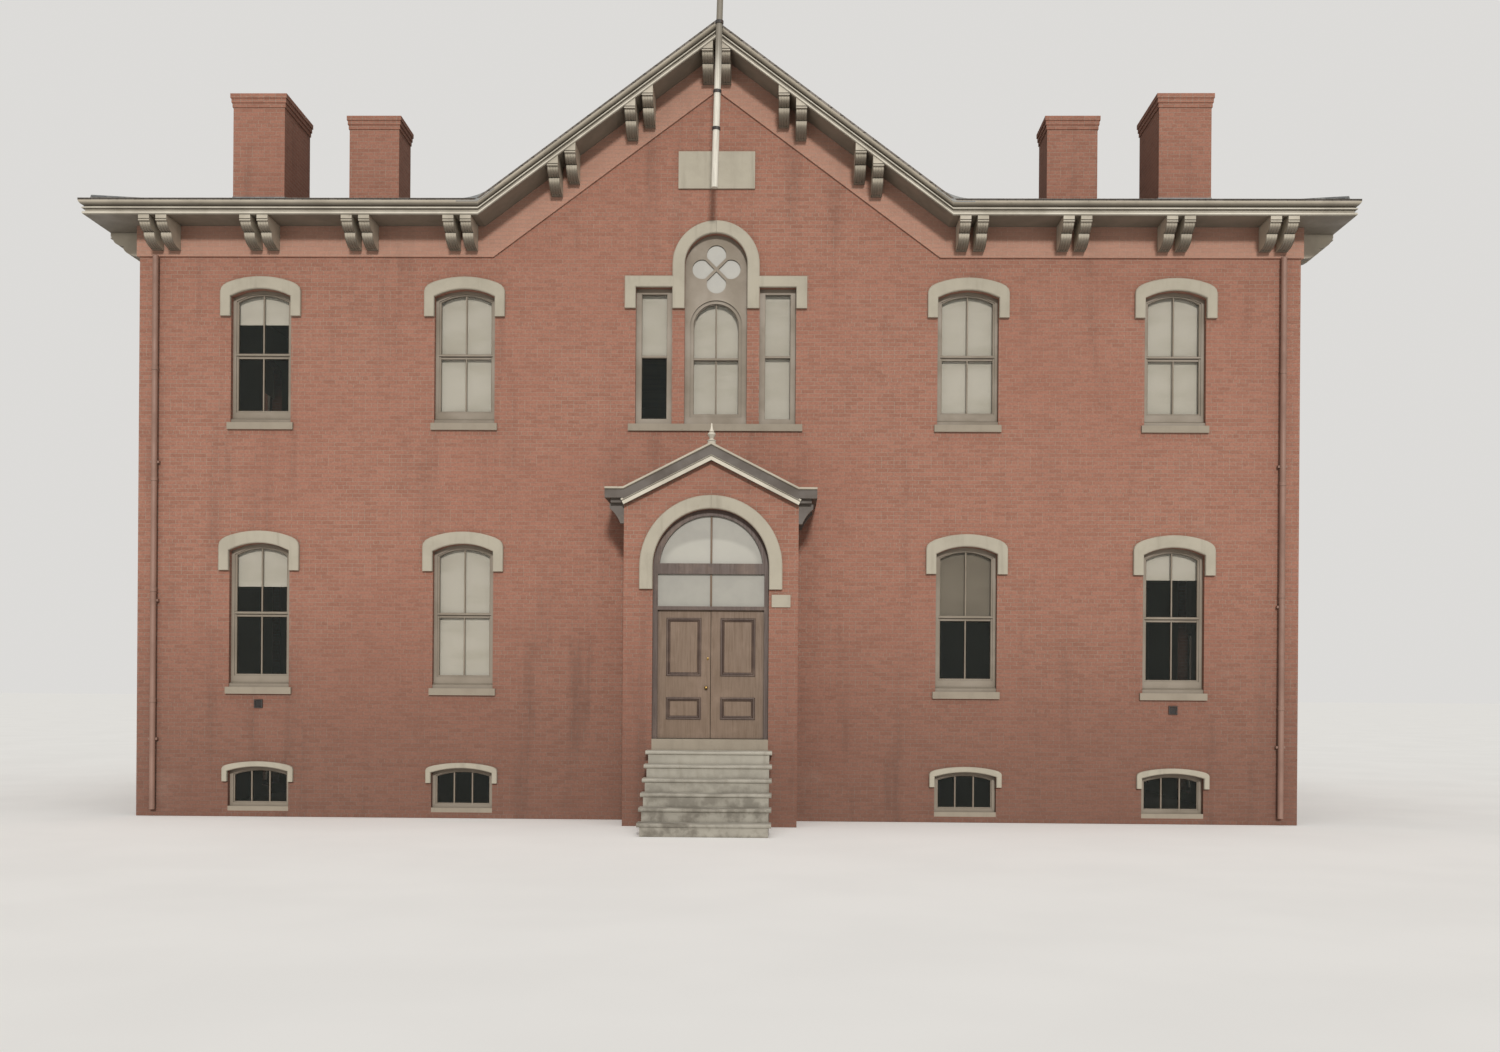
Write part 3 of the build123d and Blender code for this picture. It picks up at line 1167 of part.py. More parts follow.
def write_wall_pieces():
    """Blank plate by the door, two rainwater pipes, and iron vents under the outer windows."""
    half = PLATE_WIDTH / 2
    plate = block(
        PLATE_X - half, PLATE_X + half, PORCH_FACE - PLATE_THICKNESS, PORCH_FACE,
        PLATE_LEVEL, PLATE_LEVEL + PLATE_HEIGHT,
    )
    write(plate, "porch_plate")
    top = SOFFIT_LEVEL - FRIEZE_HEIGHT
    pipes = []
    y = FRONT - DOWNSPOUT_GAP - DOWNSPOUT_RADIUS
    for side in (-1, 1):
        x = side * DOWNSPOUT_X
        length = top - DOWNSPOUT_FOOT
        pipe = Pos(x, y, DOWNSPOUT_FOOT) * tapered(DOWNSPOUT_RADIUS, DOWNSPOUT_RADIUS, length, ROUND_SIDES)
        count = int(length // DOWNSPOUT_STRAP_PITCH)
        for index in range(count):
            level = DOWNSPOUT_FOOT + (index + 0.5) * DOWNSPOUT_STRAP_PITCH
            wide = DOWNSPOUT_RADIUS + DOWNSPOUT_GAP
            pipe += block(x - wide, x + wide, y, FRONT, level, level + DOWNSPOUT_STRAP)
        pipes.append(pipe)
    write(solids_of(pipes), "downspouts")
    vents = []
    for side in (-1, 1):
        x = side * OUTER_WINDOW_X
        reach = VENT_SIZE / 2
        low, high = VENT_LEVEL - reach, VENT_LEVEL + reach
        vents.append(block(x - reach, x + reach, FRONT - VENT_DEPTH, FRONT, low, high))
    write(solids_of(vents), "wall_vents")


def write_windows():
    """Hoods, sills, frames and glass of every window, and the triple window's own hood and tracery."""
    hoods, sills, frames, panes = window_pieces(WALL_POSITIONS)
    sills.append(on_wall("front", 0, triple_sill(SILL_PROJECTION)))
    frames.append(on_wall("front", 0, centre_sash()))
    for side in (-1, 1):
        frames.append(on_wall("front", 0, side_sash(side)))
    for pane in triple_panes():
        panes.append(on_wall("front", 0, pane))
    write(solids_of(hoods), "window_hoods")
    write(solids_of(sills), "window_sills")
    write(solids_of(frames), "window_frames")
    write(solids_of(panes), "window_glass")
    write(on_wall("front", 0, triple_hood()), "triple_window_hood")
    write(on_wall("front", 0, tracery()), "triple_window_tracery")


os.makedirs("parts", exist_ok=True)
write_walls()
write_floors()
write_cornices()
write_friezes()
write_brackets()
write_roofs()
write_chimneys()
write_gable_pieces()
write_porch_walls()
write_porch_roof()
write_door_frame()
write_doors()
write_hinges()
write_steps()
write_wall_pieces()
write_windows()
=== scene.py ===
"""Brick school building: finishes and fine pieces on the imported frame, an add-on that runs as a script."""
import math

import bmesh
import bpy
import numpy as np
from bpy.props import FloatProperty, FloatVectorProperty, IntProperty, PointerProperty
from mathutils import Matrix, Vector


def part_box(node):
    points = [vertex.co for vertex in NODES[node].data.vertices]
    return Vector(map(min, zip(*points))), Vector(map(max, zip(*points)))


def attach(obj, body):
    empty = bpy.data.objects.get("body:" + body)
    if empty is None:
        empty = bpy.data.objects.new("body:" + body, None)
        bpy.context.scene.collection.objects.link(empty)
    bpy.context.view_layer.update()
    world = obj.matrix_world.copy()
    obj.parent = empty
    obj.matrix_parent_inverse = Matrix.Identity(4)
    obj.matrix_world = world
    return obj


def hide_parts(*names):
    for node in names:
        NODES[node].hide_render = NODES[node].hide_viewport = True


bl_info = {
    "name": "Brick School Building",
    "version": (1, 0, 0),
    "blender": (4, 5, 0),
    "location": "3D View > Sidebar > School",
    "description": "Adds the finishes and fine pieces of a bracketed brick school to its frame",
    "category": "Add Mesh",
}

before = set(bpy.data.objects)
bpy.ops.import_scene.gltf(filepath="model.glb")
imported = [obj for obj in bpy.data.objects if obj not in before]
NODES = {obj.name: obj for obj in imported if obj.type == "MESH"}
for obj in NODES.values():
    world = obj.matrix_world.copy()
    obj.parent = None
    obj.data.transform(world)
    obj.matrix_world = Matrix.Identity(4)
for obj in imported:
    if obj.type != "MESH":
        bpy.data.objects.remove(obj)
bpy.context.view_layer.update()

# Places read from the frame, in metres
WALL_LOW, WALL_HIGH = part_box("front_wall_right")
FRONT = WALL_LOW.y
HALF_LENGTH = WALL_HIGH.x
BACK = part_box("back_wall")[1].y
MIDDLE = (FRONT + BACK) / 2
WALL_THICKNESS = WALL_HIGH.y - FRONT
EAVE_LOW, EAVE_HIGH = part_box("eaves_cornice")
SOFFIT = EAVE_LOW.z
OVERHANG = EAVE_HIGH.x - HALF_LENGTH
FRIEZE_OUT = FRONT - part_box("eaves_frieze")[0].y
CORNICE_HEIGHT = 0.225
SHINGLE_RISE = 0.036
GABLE_HALF = 4.0
GABLE_SLOPE = math.tan(math.radians(36.7))
WING_SLOPE = math.tan(math.radians(14.0))
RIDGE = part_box("gable_roof")[1].z
FASCIA = 0.66
PORCH_LOW, PORCH_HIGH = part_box("porch_piers")
PORCH_FACE = PORCH_LOW.y
PORCH_HALF = PORCH_HIGH.x
LEAF_LOW, LEAF_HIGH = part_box("left_door")
RIGHT_LOW, RIGHT_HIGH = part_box("right_door")
POLE_LOW, POLE_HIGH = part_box("flagpole")

# Windows of the wings, sides and back, in metres
WINDOW_WIDTH = 1.05
WINDOW_RISE = 0.13
REVEAL = 0.11
FRAME_DEPTH = 0.06
FRAME_WIDTH = 0.055
SASH_RAIL = 0.105
SUB_SILL = 0.09
HEAD_CHORDS = 4
# Top of the sill and spring of the head in each storey, and places along each wall
STOREYS = {"ground": (2.25, 4.62), "upper": (6.84, 9.03)}
WING_PLACES = (-7.9, -4.35, 4.35, 7.9)
SIDE_PLACES = (-5.25, -1.75, 1.75, 5.25)
BACK_PLACES = (-7.9, -4.35, 0.0, 4.35, 7.9)
WALL_PLACES = {"front": WING_PLACES, "left": SIDE_PLACES, "right": SIDE_PLACES, "back": BACK_PLACES}

# Sill top, spring, rise and width of a basement window, in metres
BASEMENT = (0.18, 0.79, 0.08, 1.06)

# Stone hoods: width of a leg, height of the band, rise of its outer arc, drop of the legs below the spring
STOREY_HOOD = (0.175, 0.21, 0.16, 0.345)
BASEMENT_HOOD = (0.09, 0.09, 0.08, 0.18)
HOOD_PROJECTION = 0.07
TRIPLE_HOOD_DROP = 0.759
TRIPLE_HOOD_BAND = 0.212
FLAT_HOOD_BAND = 0.19
FLAT_HOOD_START = 0.2

# Triple window of the centre bay, in metres
SIDE_LIGHT_X = 1.07
SIDE_LIGHT_WIDTH = 0.63
SIDE_LIGHT_SASH = 0.09
SIDE_LIGHT_HEAD = 9.2
CENTRE_LIGHT = 1.08
CENTRE_SPRING = 9.595
CENTRE_SASH = 0.9
CENTRE_SASH_FOOT = 6.98
CENTRE_SASH_SPRING = 8.56
TRACERY_DEPTH = 0.11
OBSCURED_FOOT = 9.08

# Cloth blinds: what they leave free beside them, above and below, and the one of brown cloth
BLIND_SIDES = 0.03
BLIND_HEAD = 0.01
BLIND_FOOT = 0.02
BROWN_BLIND = "blind_front_ground_3"
# Share of a window that its blind covers: the front's half drawn blinds, and a series for the other sides
FRONT_DROPS = {("ground", -7.9): 0.3, ("ground", 4.35): 0.5, ("ground", 7.9): 0.22, ("upper", -7.9): 0.25}
OTHER_DROPS = (1.0, 0.5, 0.96, 0.52, 0.3)

# Paired brackets: first pair of a wing, step from pair to pair, half the distance within one
WING_PAIR_START = 4.36
PAIR_STEP = 1.725
PAIR_HALF = 0.1475
GABLE_PAIR_STEP = 1.3
CONSOLE_WIDTH = 0.185
CONSOLE_REACH = 0.64
# Outward and upward places of a bracket's waist and foot
CONSOLE_WAIST = (0.4, -0.24)
CONSOLE_FOOT = (0.09, -0.43)

# Left edge, distance behind the front, width and depth of the stacks on the right
CHIMNEYS = ((6.03, 2.0, 0.93, 0.87), (7.83, 0.95, 0.93, 1.45))
HIP_END = 0.16

# Doorway of the porch, in metres
DOORWAY_WIDTH = 1.918
ARCH_SPRING = 4.28
ARCH_FOOT = 3.91
ARCH_BAND = 0.219
FAN_FOOT = 4.345
FAN_OVAL = (0.78, 0.41)
FAN_MARGIN = 0.105
FAN_BAR = 0.03
TRANSOM = 4.17
PORCH_EAVE = 5.565
PORCH_REACH = 1.74
PORCH_SLOPE = math.tan(math.radians(27.0))
PORCH_OVERHANG = 0.2
PORCH_CORNICE = 0.206
BED_MOULD_OUT = 0.11
RAKE_CAP = 0.035

# Door leaf: its stile, then what stands over its foot in order, and the top rail
DOOR_STILE = 0.165
DOOR_BOTTOM_RAIL = 0.32
DOOR_LOWER_PANEL = 0.35
DOOR_LOCK_RAIL = 0.37
DOOR_TOP_RAIL = 0.15
ESCUTCHEON_INSET = 0.055
ESCUTCHEON_HEIGHT = 1.32

# Steps
STEP_COUNT = 6
STEP_RISE = 0.21
STEP_GOING = 0.3
TREAD_THICKNESS = 0.065
NOSING = 0.03

# Half the side of the stage's floor
FLOOR_REACH = 400.0


def default_colour(name, text, value):
    """Colour setting shown as a swatch."""
    return FloatVectorProperty(name=name, description=text, default=value, subtype="COLOR", min=0, max=1)


def length(name, text, value, low=0.0005, high=2.0):
    """Length setting in metres."""
    return FloatProperty(name=name, description=text, default=value, min=low, max=high, unit="LENGTH")


def rgb(code):
    """Linear colour of an sRGB hex value: divided by 12.92 up to 0.04045, and gamma 2.4 above."""
    channels = [int(code[i:i + 2], 16) / 255 for i in (0, 2, 4)]
    return tuple(c / 12.92 if c <= 0.04045 else ((c + 0.055) / 1.055) ** 2.4 for c in channels)


class SchoolWalls(bpy.types.PropertyGroup):
    """Sizes and colours of the masonry."""
    brick_length: length("Brick length", "Length of a stretcher with one joint", 0.213)
    course: length("Course height", "Height of a brick course with one joint", 0.0677)
    joint: length("Mortar joint", "Width of a mortar joint", 0.009)
    header_every: IntProperty(
        name="Header courses", description="One header course in so many", default=7, min=2)
    brick_red: default_colour("Brick", "Main colour of the bricks", rgb("A07260"))
    brick_dark: default_colour("Dark brick", "Colour of the harder burnt bricks", rgb("906554"))
    mortar: default_colour("Mortar", "Colour of the lime mortar", rgb("A48F80"))
    stone: default_colour("Painted stone", "Colour of hoods and sills", rgb("A8A191"))
    tread: default_colour("Tread stone", "Colour of the steps", rgb("A8A397"))
    sill: default_colour("Sill stone", "Colour of the bare sills", rgb("93897A"))


class SchoolWood(bpy.types.PropertyGroup):
    """Sizes and colours of the woodwork, iron and roofs."""
    trim: default_colour("Trim paint", "Colour of cornices and brackets", rgb("B3AA99"))
    sash: default_colour("Sash paint", "Colour of window frames", rgb("877C6D"))
    door: default_colour("Door paint", "Colour of the door leaves", rgb("6E5844"))
    shingle: default_colour("Shingle", "Colour of the weathered shingles", rgb("6B645C"))
    shingle_width: length("Shingle width", "Mean width of a shingle", 0.15)
    shingle_course: length("Shingle course", "Part of a shingle that shows", 0.14)
    muntin: length("Muntin width", "Width of a window bar", 0.026)
    meeting_rail: length("Meeting rail", "Height of the meeting rail", 0.05)
    reeds: IntProperty(name="Reeds", description="Reeds on the face of a bracket", default=4, min=2, max=8)
    reed_depth: length("Reed depth", "Depth of the grooves between the reeds", 0.022)


class SchoolBlinds(bpy.types.PropertyGroup):
    """Cloth roller blinds behind the windows."""
    cloth: default_colour("Blind cloth", "Colour of the blinds", rgb("E2DBCB"))
    clearance: length("Clearance", "Distance of the cloth behind the glass", 0.05)
    wave: length("Wave", "Depth of the soft waves in the cloth", 0.004)


class SchoolStage(bpy.types.PropertyGroup):
    """Floor, lamps and camera."""
    floor: default_colour("Floor", "Colour of the floor", rgb("F3F2EF"))
    distance: length("Camera distance", "From the camera to the front wall", 25.888, 1, 200)
    eye_height: length("Eye height", "Height of the camera", 2.25, 0.1, 20)


# Shapes: every function gives points and lists of faces, worked out as whole arrays.

def surface(grid, wrap=False, caps=False):
    """Quads over a grid of points. Wrap joins the last column to the first, and caps close the end rows."""
    rows, columns = grid.shape[:2]
    index = np.arange(rows * columns).reshape(rows, columns)
    ring = np.hstack([index, index[:, :1]]) if wrap else index
    quads = np.stack([ring[:-1, :-1], ring[:-1, 1:], ring[1:, 1:], ring[1:, :-1]], axis=-1).reshape(-1, 4)
    faces = [quads]
    if caps:
        faces += [index[:1, ::-1], index[-1:]]
    return grid.reshape(-1, 3), faces


def join(parts):
    """One part of several: each part's faces are shifted by the number of points before it."""
    points, faces, start = [], [], 0
    for part_points, part_faces in parts:
        points.append(part_points)
        faces += [face + start for face in part_faces]
        start += len(part_points)
    return np.concatenate(points), faces


def moved(part, offset):
    """The part shifted by an offset."""
    return part[0] + np.asarray(offset, float), part[1]


def boxes(lows, highs):
    """Boxes between arrays of low and high corners: corner k takes x, y, z from bits 0, 1, 2 of k."""
    lows, highs = (np.atleast_2d(np.asarray(corners, float)) for corners in (lows, highs))
    bits = (np.arange(8)[:, None] >> np.arange(3)) & 1
    points = lows[:, None, :] + bits[None] * (highs - lows)[:, None, :]
    sides = np.array([
        (0, 2, 3, 1), (4, 5, 7, 6), (0, 1, 5, 4), (2, 6, 7, 3), (0, 4, 6, 2), (1, 3, 7, 5),
    ])
    faces = (sides[None] + 8 * np.arange(len(lows))[:, None, None]).reshape(-1, 4)
    return points.reshape(-1, 3), [faces]


def sweep(profile, path, across, closed=False):
    """Profile (a, b) carried along a path in a plane: a along the mitred in-plane normal, b along across.

    At each point the normal is the mean of its two runs' normals divided by the cosine of half their turn."""
    path, across = np.asarray(path, float), np.asarray(across, float)
    runs = np.diff(np.vstack([path, path[:1]]) if closed else path, axis=0)
    runs /= np.linalg.norm(runs, axis=1)[:, None]
    normals = np.cross(runs, across)
    before = np.roll(normals, 1, axis=0) if closed else np.vstack([normals[:1], normals])
    after = normals if closed else np.vstack([normals, normals[-1:]])
    mean = before + after
    mean /= (mean * after).sum(axis=1)[:, None]
    profile = np.asarray(profile, float)
    sideways = profile[None, :, :1] * mean[:, None, :]
    grid = path[:, None, :] + sideways + profile[None, :, 1:] * across
    if closed:
        grid = np.concatenate([grid, grid[:1]])
    return surface(grid, wrap=True, caps=not closed)


def lathe(radii, heights, sides=24):
    """Turned form: ring k has radius r_k at height z_k, and a flat face closes each end."""
    angle = np.linspace(0, 2 * math.pi, sides, endpoint=False)
    radii, heights = np.asarray(radii, float), np.asarray(heights, float)
    grid = np.stack([
        radii[:, None] * np.cos(angle), radii[:, None] * np.sin(angle), heights[:, None] + 0 * angle,
    ], axis=-1)
    return surface(grid, wrap=True, caps=True)


def bow(start, end, sagitta, chords):
    """Points on an arc that bows by the sagitta to the left of the run, without its two ends."""
    start, end = np.asarray(start, float), np.asarray(end, float)
    run = end - start
    span = np.linalg.norm(run)
    radius = (span ** 2 / 4 + sagitta ** 2) / (2 * abs(sagitta))
    angle = math.asin(span / (2 * radius)) * (2 * np.arange(1, chords) / chords - 1)
    along = span / 2 + radius * np.sin(angle)
    out = math.copysign(1, sagitta) * (radius * np.cos(angle) - radius + abs(sagitta))
    side = np.array([-run[1], run[0]])
    return start + (run * along[:, None] + side * out[:, None]) / span


def on_wall(wall, along, part):
    """A part drawn on the front face at x = 0, with +y into the building, set at its place on a wall."""
    turn = {"front": (1, 0), "back": (-1, 0), "left": (0, -1), "right": (0, 1)}[wall]
    start = {
        "front": (along, FRONT), "back": (-along, BACK),
        "left": (-HALF_LENGTH, MIDDLE - along), "right": (HALF_LENGTH, MIDDLE + along),
    }[wall]
    x, y, z = part[0].T
    cos, sin = turn
    turned = np.stack([start[0] + cos * x - sin * y, start[1] + sin * x + cos * y, z], axis=-1)
    return turned, part[1]


def piece(name, parts, material, body="building", replaces=(), slot=None, angle=30):
    """Object made of parts, with its place in its mesh, faces outward and edges sharp past the angle."""
    points, faces = join(parts)
    mesh = bpy.data.meshes.new(name)
    mesh.from_pydata(points.tolist(), [], [face for block in faces for face in block.tolist()])
    edit = bmesh.new()
    edit.from_mesh(mesh)
    bmesh.ops.remove_doubles(edit, verts=edit.verts, dist=1e-6)
    bmesh.ops.recalc_face_normals(edit, faces=edit.faces)
    edit.to_mesh(mesh)
    edit.free()
    mesh.polygons.foreach_set("use_smooth", np.ones(len(mesh.polygons), bool))
    mesh.set_sharp_from_angle(angle=math.radians(angle))
    mesh.materials.append(material)
    made = bpy.data.objects.new(name, mesh)
    bpy.context.scene.collection.objects.link(made)
    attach(made, body)
    if replaces:
        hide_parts(*replaces)
    return made


# Materials: a noise's scale is 1000 over the size of its features in millimetres, which a comment gives.

SMOOTH = {"interpolation_type": "SMOOTHSTEP"}
COLOUR = {"data_type": "RGBA", "clamp_result": True}


def node(tree, kind, inputs=(), out=0, **settings):
    """Add a node with its settings, link or set its inputs by place or name, and give one of its outputs."""
    made = tree.nodes.new("ShaderNode" + kind)
    for name, value in settings.items():
        setattr(made, name, value)
    for key, value in inputs.items() if isinstance(inputs, dict) else enumerate(inputs):
        socket = made.inputs[key]
        if isinstance(value, bpy.types.NodeSocket):
            tree.links.new(value, socket)
        else:
            socket.default_value = (*value[:3], 1) if socket.type == "RGBA" else value
    return made.outputs[out]


def started(name, **inputs):
    """New material with its Principled shader set, its tree and its Object coordinates."""
    made = bpy.data.materials.new(name)
    made.use_nodes = True
    tree = made.node_tree
    shader = tree.nodes["Principled BSDF"]
    for key, value in inputs.items():
        shader.inputs[key.replace("_", " ")].default_value = value
    return made, tree, shader, node(tree, "TexCoord", out="Object")


def finished(tree, shader, colour, relief, depth, roughness=None):
    """Link a colour, a relief whose full range is the depth in metres, and a roughness where one is given."""
    tree.links.new(colour, shader.inputs["Base Color"])
    if roughness is not None:
        tree.links.new(roughness, shader.inputs["Roughness"])
    bump = node(tree, "Bump", {"Height": relief, "Distance": depth, "Strength": 1.0})
    tree.links.new(bump, shader.inputs["Normal"])


def patches(tree, vector, cloud, edges, most=1.0, least=0.0):
    """Share of soft patches, smoothed from the least to the most between two edges of a noise.

    Cloud is the noise: its features a metre, its detail and its roughness."""
    inputs = {"Vector": vector, "Scale": cloud[0], "Detail": cloud[1], "Roughness": cloud[2]}
    return node(tree, "MapRange", (node(tree, "TexNoise", inputs), *edges, least, most), **SMOOTH)


def layered(tree, colour, *coats):
    """Colour under coats: each coat, a share and its own colour, is mixed over those before it."""
    for share, coat in coats:
        colour = node(tree, "Mix", {0: share, 6: colour, 7: coat}, 2, **COLOUR)
    return colour


def painted_shade_and_dirt(tree, distance, most):
    """Share of painted shade, with some dirt, from ambient occlusion: 0 in the open, and the most deep in a
    corner or under a ledge.
    """
    open_share = node(tree, "AmbientOcclusion", {"Distance": distance}, "AO", samples=4)
    return node(tree, "MapRange", (open_share, 0.35, 0.95, most, 0.0), **SMOOTH)


def wall_plane(tree, place):
    """Distance along a wall, x where it faces along Y and y where it faces along X; its place; its normal."""
    facing = node(tree, "SeparateXYZ", [node(tree, "NewGeometry", out="True Normal")]).node.outputs
    where = node(tree, "SeparateXYZ", [place]).node.outputs
    aside = node(tree, "Math", [facing[0]], operation="ABSOLUTE")
    sideways = node(tree, "Math", (aside, 0.7), operation="GREATER_THAN")
    along = node(tree, "Mix", {0: sideways, 2: where[0], 3: where[1]}, data_type="FLOAT")
    return along, where, facing


def plastered(tree, where):
    """1 on the faces within the walls and below the soffit, and 0 outside."""
    x_out = node(tree, "Math", [where[0]], operation="ABSOLUTE")
    y_out = node(tree, "Math", (where[1], MIDDLE), operation="SUBTRACT")
    y_out = node(tree, "Math", [y_out], operation="ABSOLUTE")
    within = node(tree, "Math", (where[2], SOFFIT - 0.08), operation="LESS_THAN")
    for distance, limit in ((x_out, HALF_LENGTH), (y_out, MIDDLE - FRONT)):
        near = node(tree, "Math", (distance, limit - WALL_THICKNESS + 0.002), operation="LESS_THAN")
        within = node(tree, "Math", (within, near), operation="MULTIPLY")
    return within


def brick_material(name, rubbed):
    """Soft red brick in lime mortar, six stretcher courses to one of headers, rain-streaked, darker towards
    the foot, with painted shade and some dirt under the eaves and in corners.

    Rubbed is the share of paler, cleaner brick that a frieze kept dry by the eaves shows."""
    walls = bpy.context.scene.school_walls
    made, tree, shader, place = started(name, Roughness=0.9, Specular_IOR_Level=0.25)
    along, where, facing = wall_plane(tree, place)
    # A flat top counts its rows along y instead of upwards
    tilt = node(tree, "Math", [facing[2]], operation="ABSOLUTE")
    flat_top = node(tree, "Math", (tilt, 0.7), operation="GREATER_THAN")
    row = node(tree, "Mix", {0: flat_top, 2: where[2], 3: where[1]}, data_type="FLOAT")
    bricks = {
        "Vector": node(tree, "CombineXYZ", (along, row)), "Scale": 1.0, "Row Height": walls.course,
        "Color1": walls.brick_red, "Color2": walls.brick_dark, "Bias": -0.25,
        "Mortar": walls.mortar, "Mortar Size": walls.joint / 2, "Mortar Smooth": 0.25,
    }
    stretchers = node(tree, "TexBrick", {**bricks, "Brick Width": walls.brick_length})
    headers = node(tree, "TexBrick", {**bricks, "Brick Width": walls.brick_length / 2})
    course = node(tree, "Math", (row, walls.course), operation="DIVIDE")
    course = node(tree, "Math", [course], operation="FLOOR")
    spare = node(tree, "Math", (course, float(walls.header_every)), operation="FLOORED_MODULO")
    is_header = node(tree, "Math", (spare, 0.5), operation="LESS_THAN")
    factors = [bond.node.outputs["Fac"] for bond in (stretchers, headers)]
    joint = node(tree, "Mix", {0: is_header, 2: factors[0], 3: factors[1]}, data_type="FLOAT")
    # Grit of 1 to 2 mm is too fine to show, so it is drawn 30 mm coarse
    grain = node(tree, "TexNoise", {"Vector": place, "Scale": 34.0, "Detail": 4.0, "Roughness": 0.55})
    # Rain streaks 450 mm wide and ten times as long
    run = node(tree, "Mapping", {0: place, 3: (1.6, 1.6, 0.16)})
    streaks = patches(tree, run, (1.4, 6.0, 0.6), (0.52, 0.8), 0.3)
    # Darker towards the foot of the wall, fading out 5 m up, added to the rain streaks
    near_ground = node(tree, "MapRange", (where[2], 0.0, 5.0, 0.5, 0.0), **SMOOTH)
    streaks_and_foot_darkening = node(tree, "Math", (streaks, near_ground), operation="ADD")
    lime = patches(tree, place, (0.9, 6.0, 0.65), (0.62, 0.85), 0.25)
    plaster = plastered(tree, where)
    colour = layered(
        tree, stretchers,
        (is_header, headers),
        (patches(tree, place, (0.55, 5.0, 0.55), (0.35, 0.7), 0.32), rgb("9A6A59")),
        (node(tree, "MapRange", (grain, 0.3, 0.8, 0.0, 0.35), **SMOOTH), rgb("59362D")),
        (streaks_and_foot_darkening, rgb("4B3A33")),
        (lime, rgb("A58E80")),
        (rubbed, rgb("C49F8C")),
        # Painted shade, with some dirt, under the eaves and in the corners by the porch
        (painted_shade_and_dirt(tree, 0.6, 0.15), rgb("4A3931")),
        (plaster, rgb("B9B09C")),
    )
    body = node(tree, "Math", (1.0, joint), operation="SUBTRACT")
    grit = node(tree, "Math", (grain, 0.25), operation="MULTIPLY")
    relief = node(tree, "Math", (body, 0.75, grit), operation="MULTIPLY_ADD")
    outdoors = node(tree, "Math", (1.0, plaster), operation="SUBTRACT")
    relief = node(tree, "Math", (relief, outdoors), operation="MULTIPLY")
    finished(tree, shader, colour, relief, 0.004)
    return made


def stone_material(name, colour, dirt, chip=0.35, foot_darkening=0.0):
    """Sawn stone, matt and pale: grey where water runs, brown where worn, darker in patches near the ground,
    and with painted shade in its recesses.
    """
    made, tree, shader, place = started(name, Roughness=0.8, Specular_IOR_Level=0.3)
    # Grain of 0.5 mm is too fine to show, so it is drawn 11 mm coarse; water runs are 140 mm wide
    grain = node(tree, "TexNoise", {"Vector": place, "Scale": 90.0, "Detail": 3.0, "Roughness": 0.55})
    worn = patches(tree, place, (9.0, 8.0, 0.7), (0.62, 0.75), chip)
    run = node(tree, "Mapping", {0: place, 3: (7.0, 7.0, 0.7)})
    level = node(tree, "SeparateXYZ", [place], 2)
    # Darker in patches near the ground, fading out 1.4 m up, by the share given
    near_ground = node(tree, "MapRange", (level, 0.1, 1.4, foot_darkening, 0.0), **SMOOTH)
    foot_patches = patches(tree, place, (3.2, 6.0, 0.62), (0.4, 0.62), 1.4, 0.35)
    darkened_foot = node(tree, "Math", (near_ground, foot_patches), operation="MULTIPLY")
    coated = layered(
        tree, colour,
        (patches(tree, place, (2.2, 6.0, 0.6), (0.4, 0.7), 0.5), dirt),
        (worn, rgb("8F8069")),
        (patches(tree, run, (1.0, 6.0, 0.6), (0.5, 0.8), 0.45), rgb("7D7568")),
        # Painted shade in the recesses, with some dirt
        (painted_shade_and_dirt(tree, 0.05, 0.45), rgb("5F574C")),
        (darkened_foot, rgb("625C52")),
    )
    grit = node(tree, "Math", (grain, 0.5), operation="MULTIPLY")
    relief = node(tree, "Math", (grit, worn), operation="SUBTRACT")
    roughness = node(tree, "MapRange", (grain, 0.2, 0.8, 0.7, 0.92), **SMOOTH)
    finished(tree, shader, coated, relief, 0.0015, roughness)
    return made


def paint_material(name, colour, dirt, recess_shade_and_dirt=0.5):
    """Pine under coats of oil paint: a slight sheen, brush marks, worn spots, dust on tops, painted shade
    with some dirt in the recesses, and painted shade on undersides.
    """
    made, tree, shader, place = started(name, Roughness=0.6)
    cloud = node(tree, "TexNoise", {"Vector": place, "Scale": 1.7, "Detail": 5.0, "Roughness": 0.6})
    # Brush marks 56 mm long and 11 mm apart, coarser than a brush's bristles so that they show
    stroke = node(tree, "Mapping", {0: place, 3: (18.0, 18.0, 90.0)})
    brush = node(tree, "TexNoise", {"Vector": stroke, "Scale": 1.0, "Detail": 3.0, "Roughness": 0.55})
    worn = patches(tree, place, (6.0, 9.0, 0.72), (0.6, 0.72), 0.5)
    facing = node(tree, "SeparateXYZ", [node(tree, "NewGeometry", out="Normal")], 2)
    dust = node(tree, "MapRange", (facing, 0.3, 0.95, 0.0, 0.4), **SMOOTH)
    # Painted shade on faces that look downwards, such as soffits
    painted_underside_shade = node(tree, "MapRange", (facing, -0.35, -0.8, 0.0, 0.7), **SMOOTH)
    coated = layered(
        tree, colour,
        (node(tree, "MapRange", (cloud, 0.38, 0.7, 0.0, 0.55), **SMOOTH), dirt),
        (worn, rgb("6E6353")),
        (dust, rgb("7A7265")),
        # Painted shade in the recesses, with some dirt
        (painted_shade_and_dirt(tree, 0.07, recess_shade_and_dirt), rgb("4A4238")),
        (painted_underside_shade, rgb("463F36")),
    )
    marks = node(tree, "Math", (brush, 0.3), operation="MULTIPLY")
    relief = node(tree, "Math", (marks, worn), operation="SUBTRACT")
    roughness = node(tree, "MapRange", (cloud, 0.3, 0.75, 0.5, 0.75), **SMOOTH)
    finished(tree, shader, coated, relief, 0.0008, roughness)
    return made


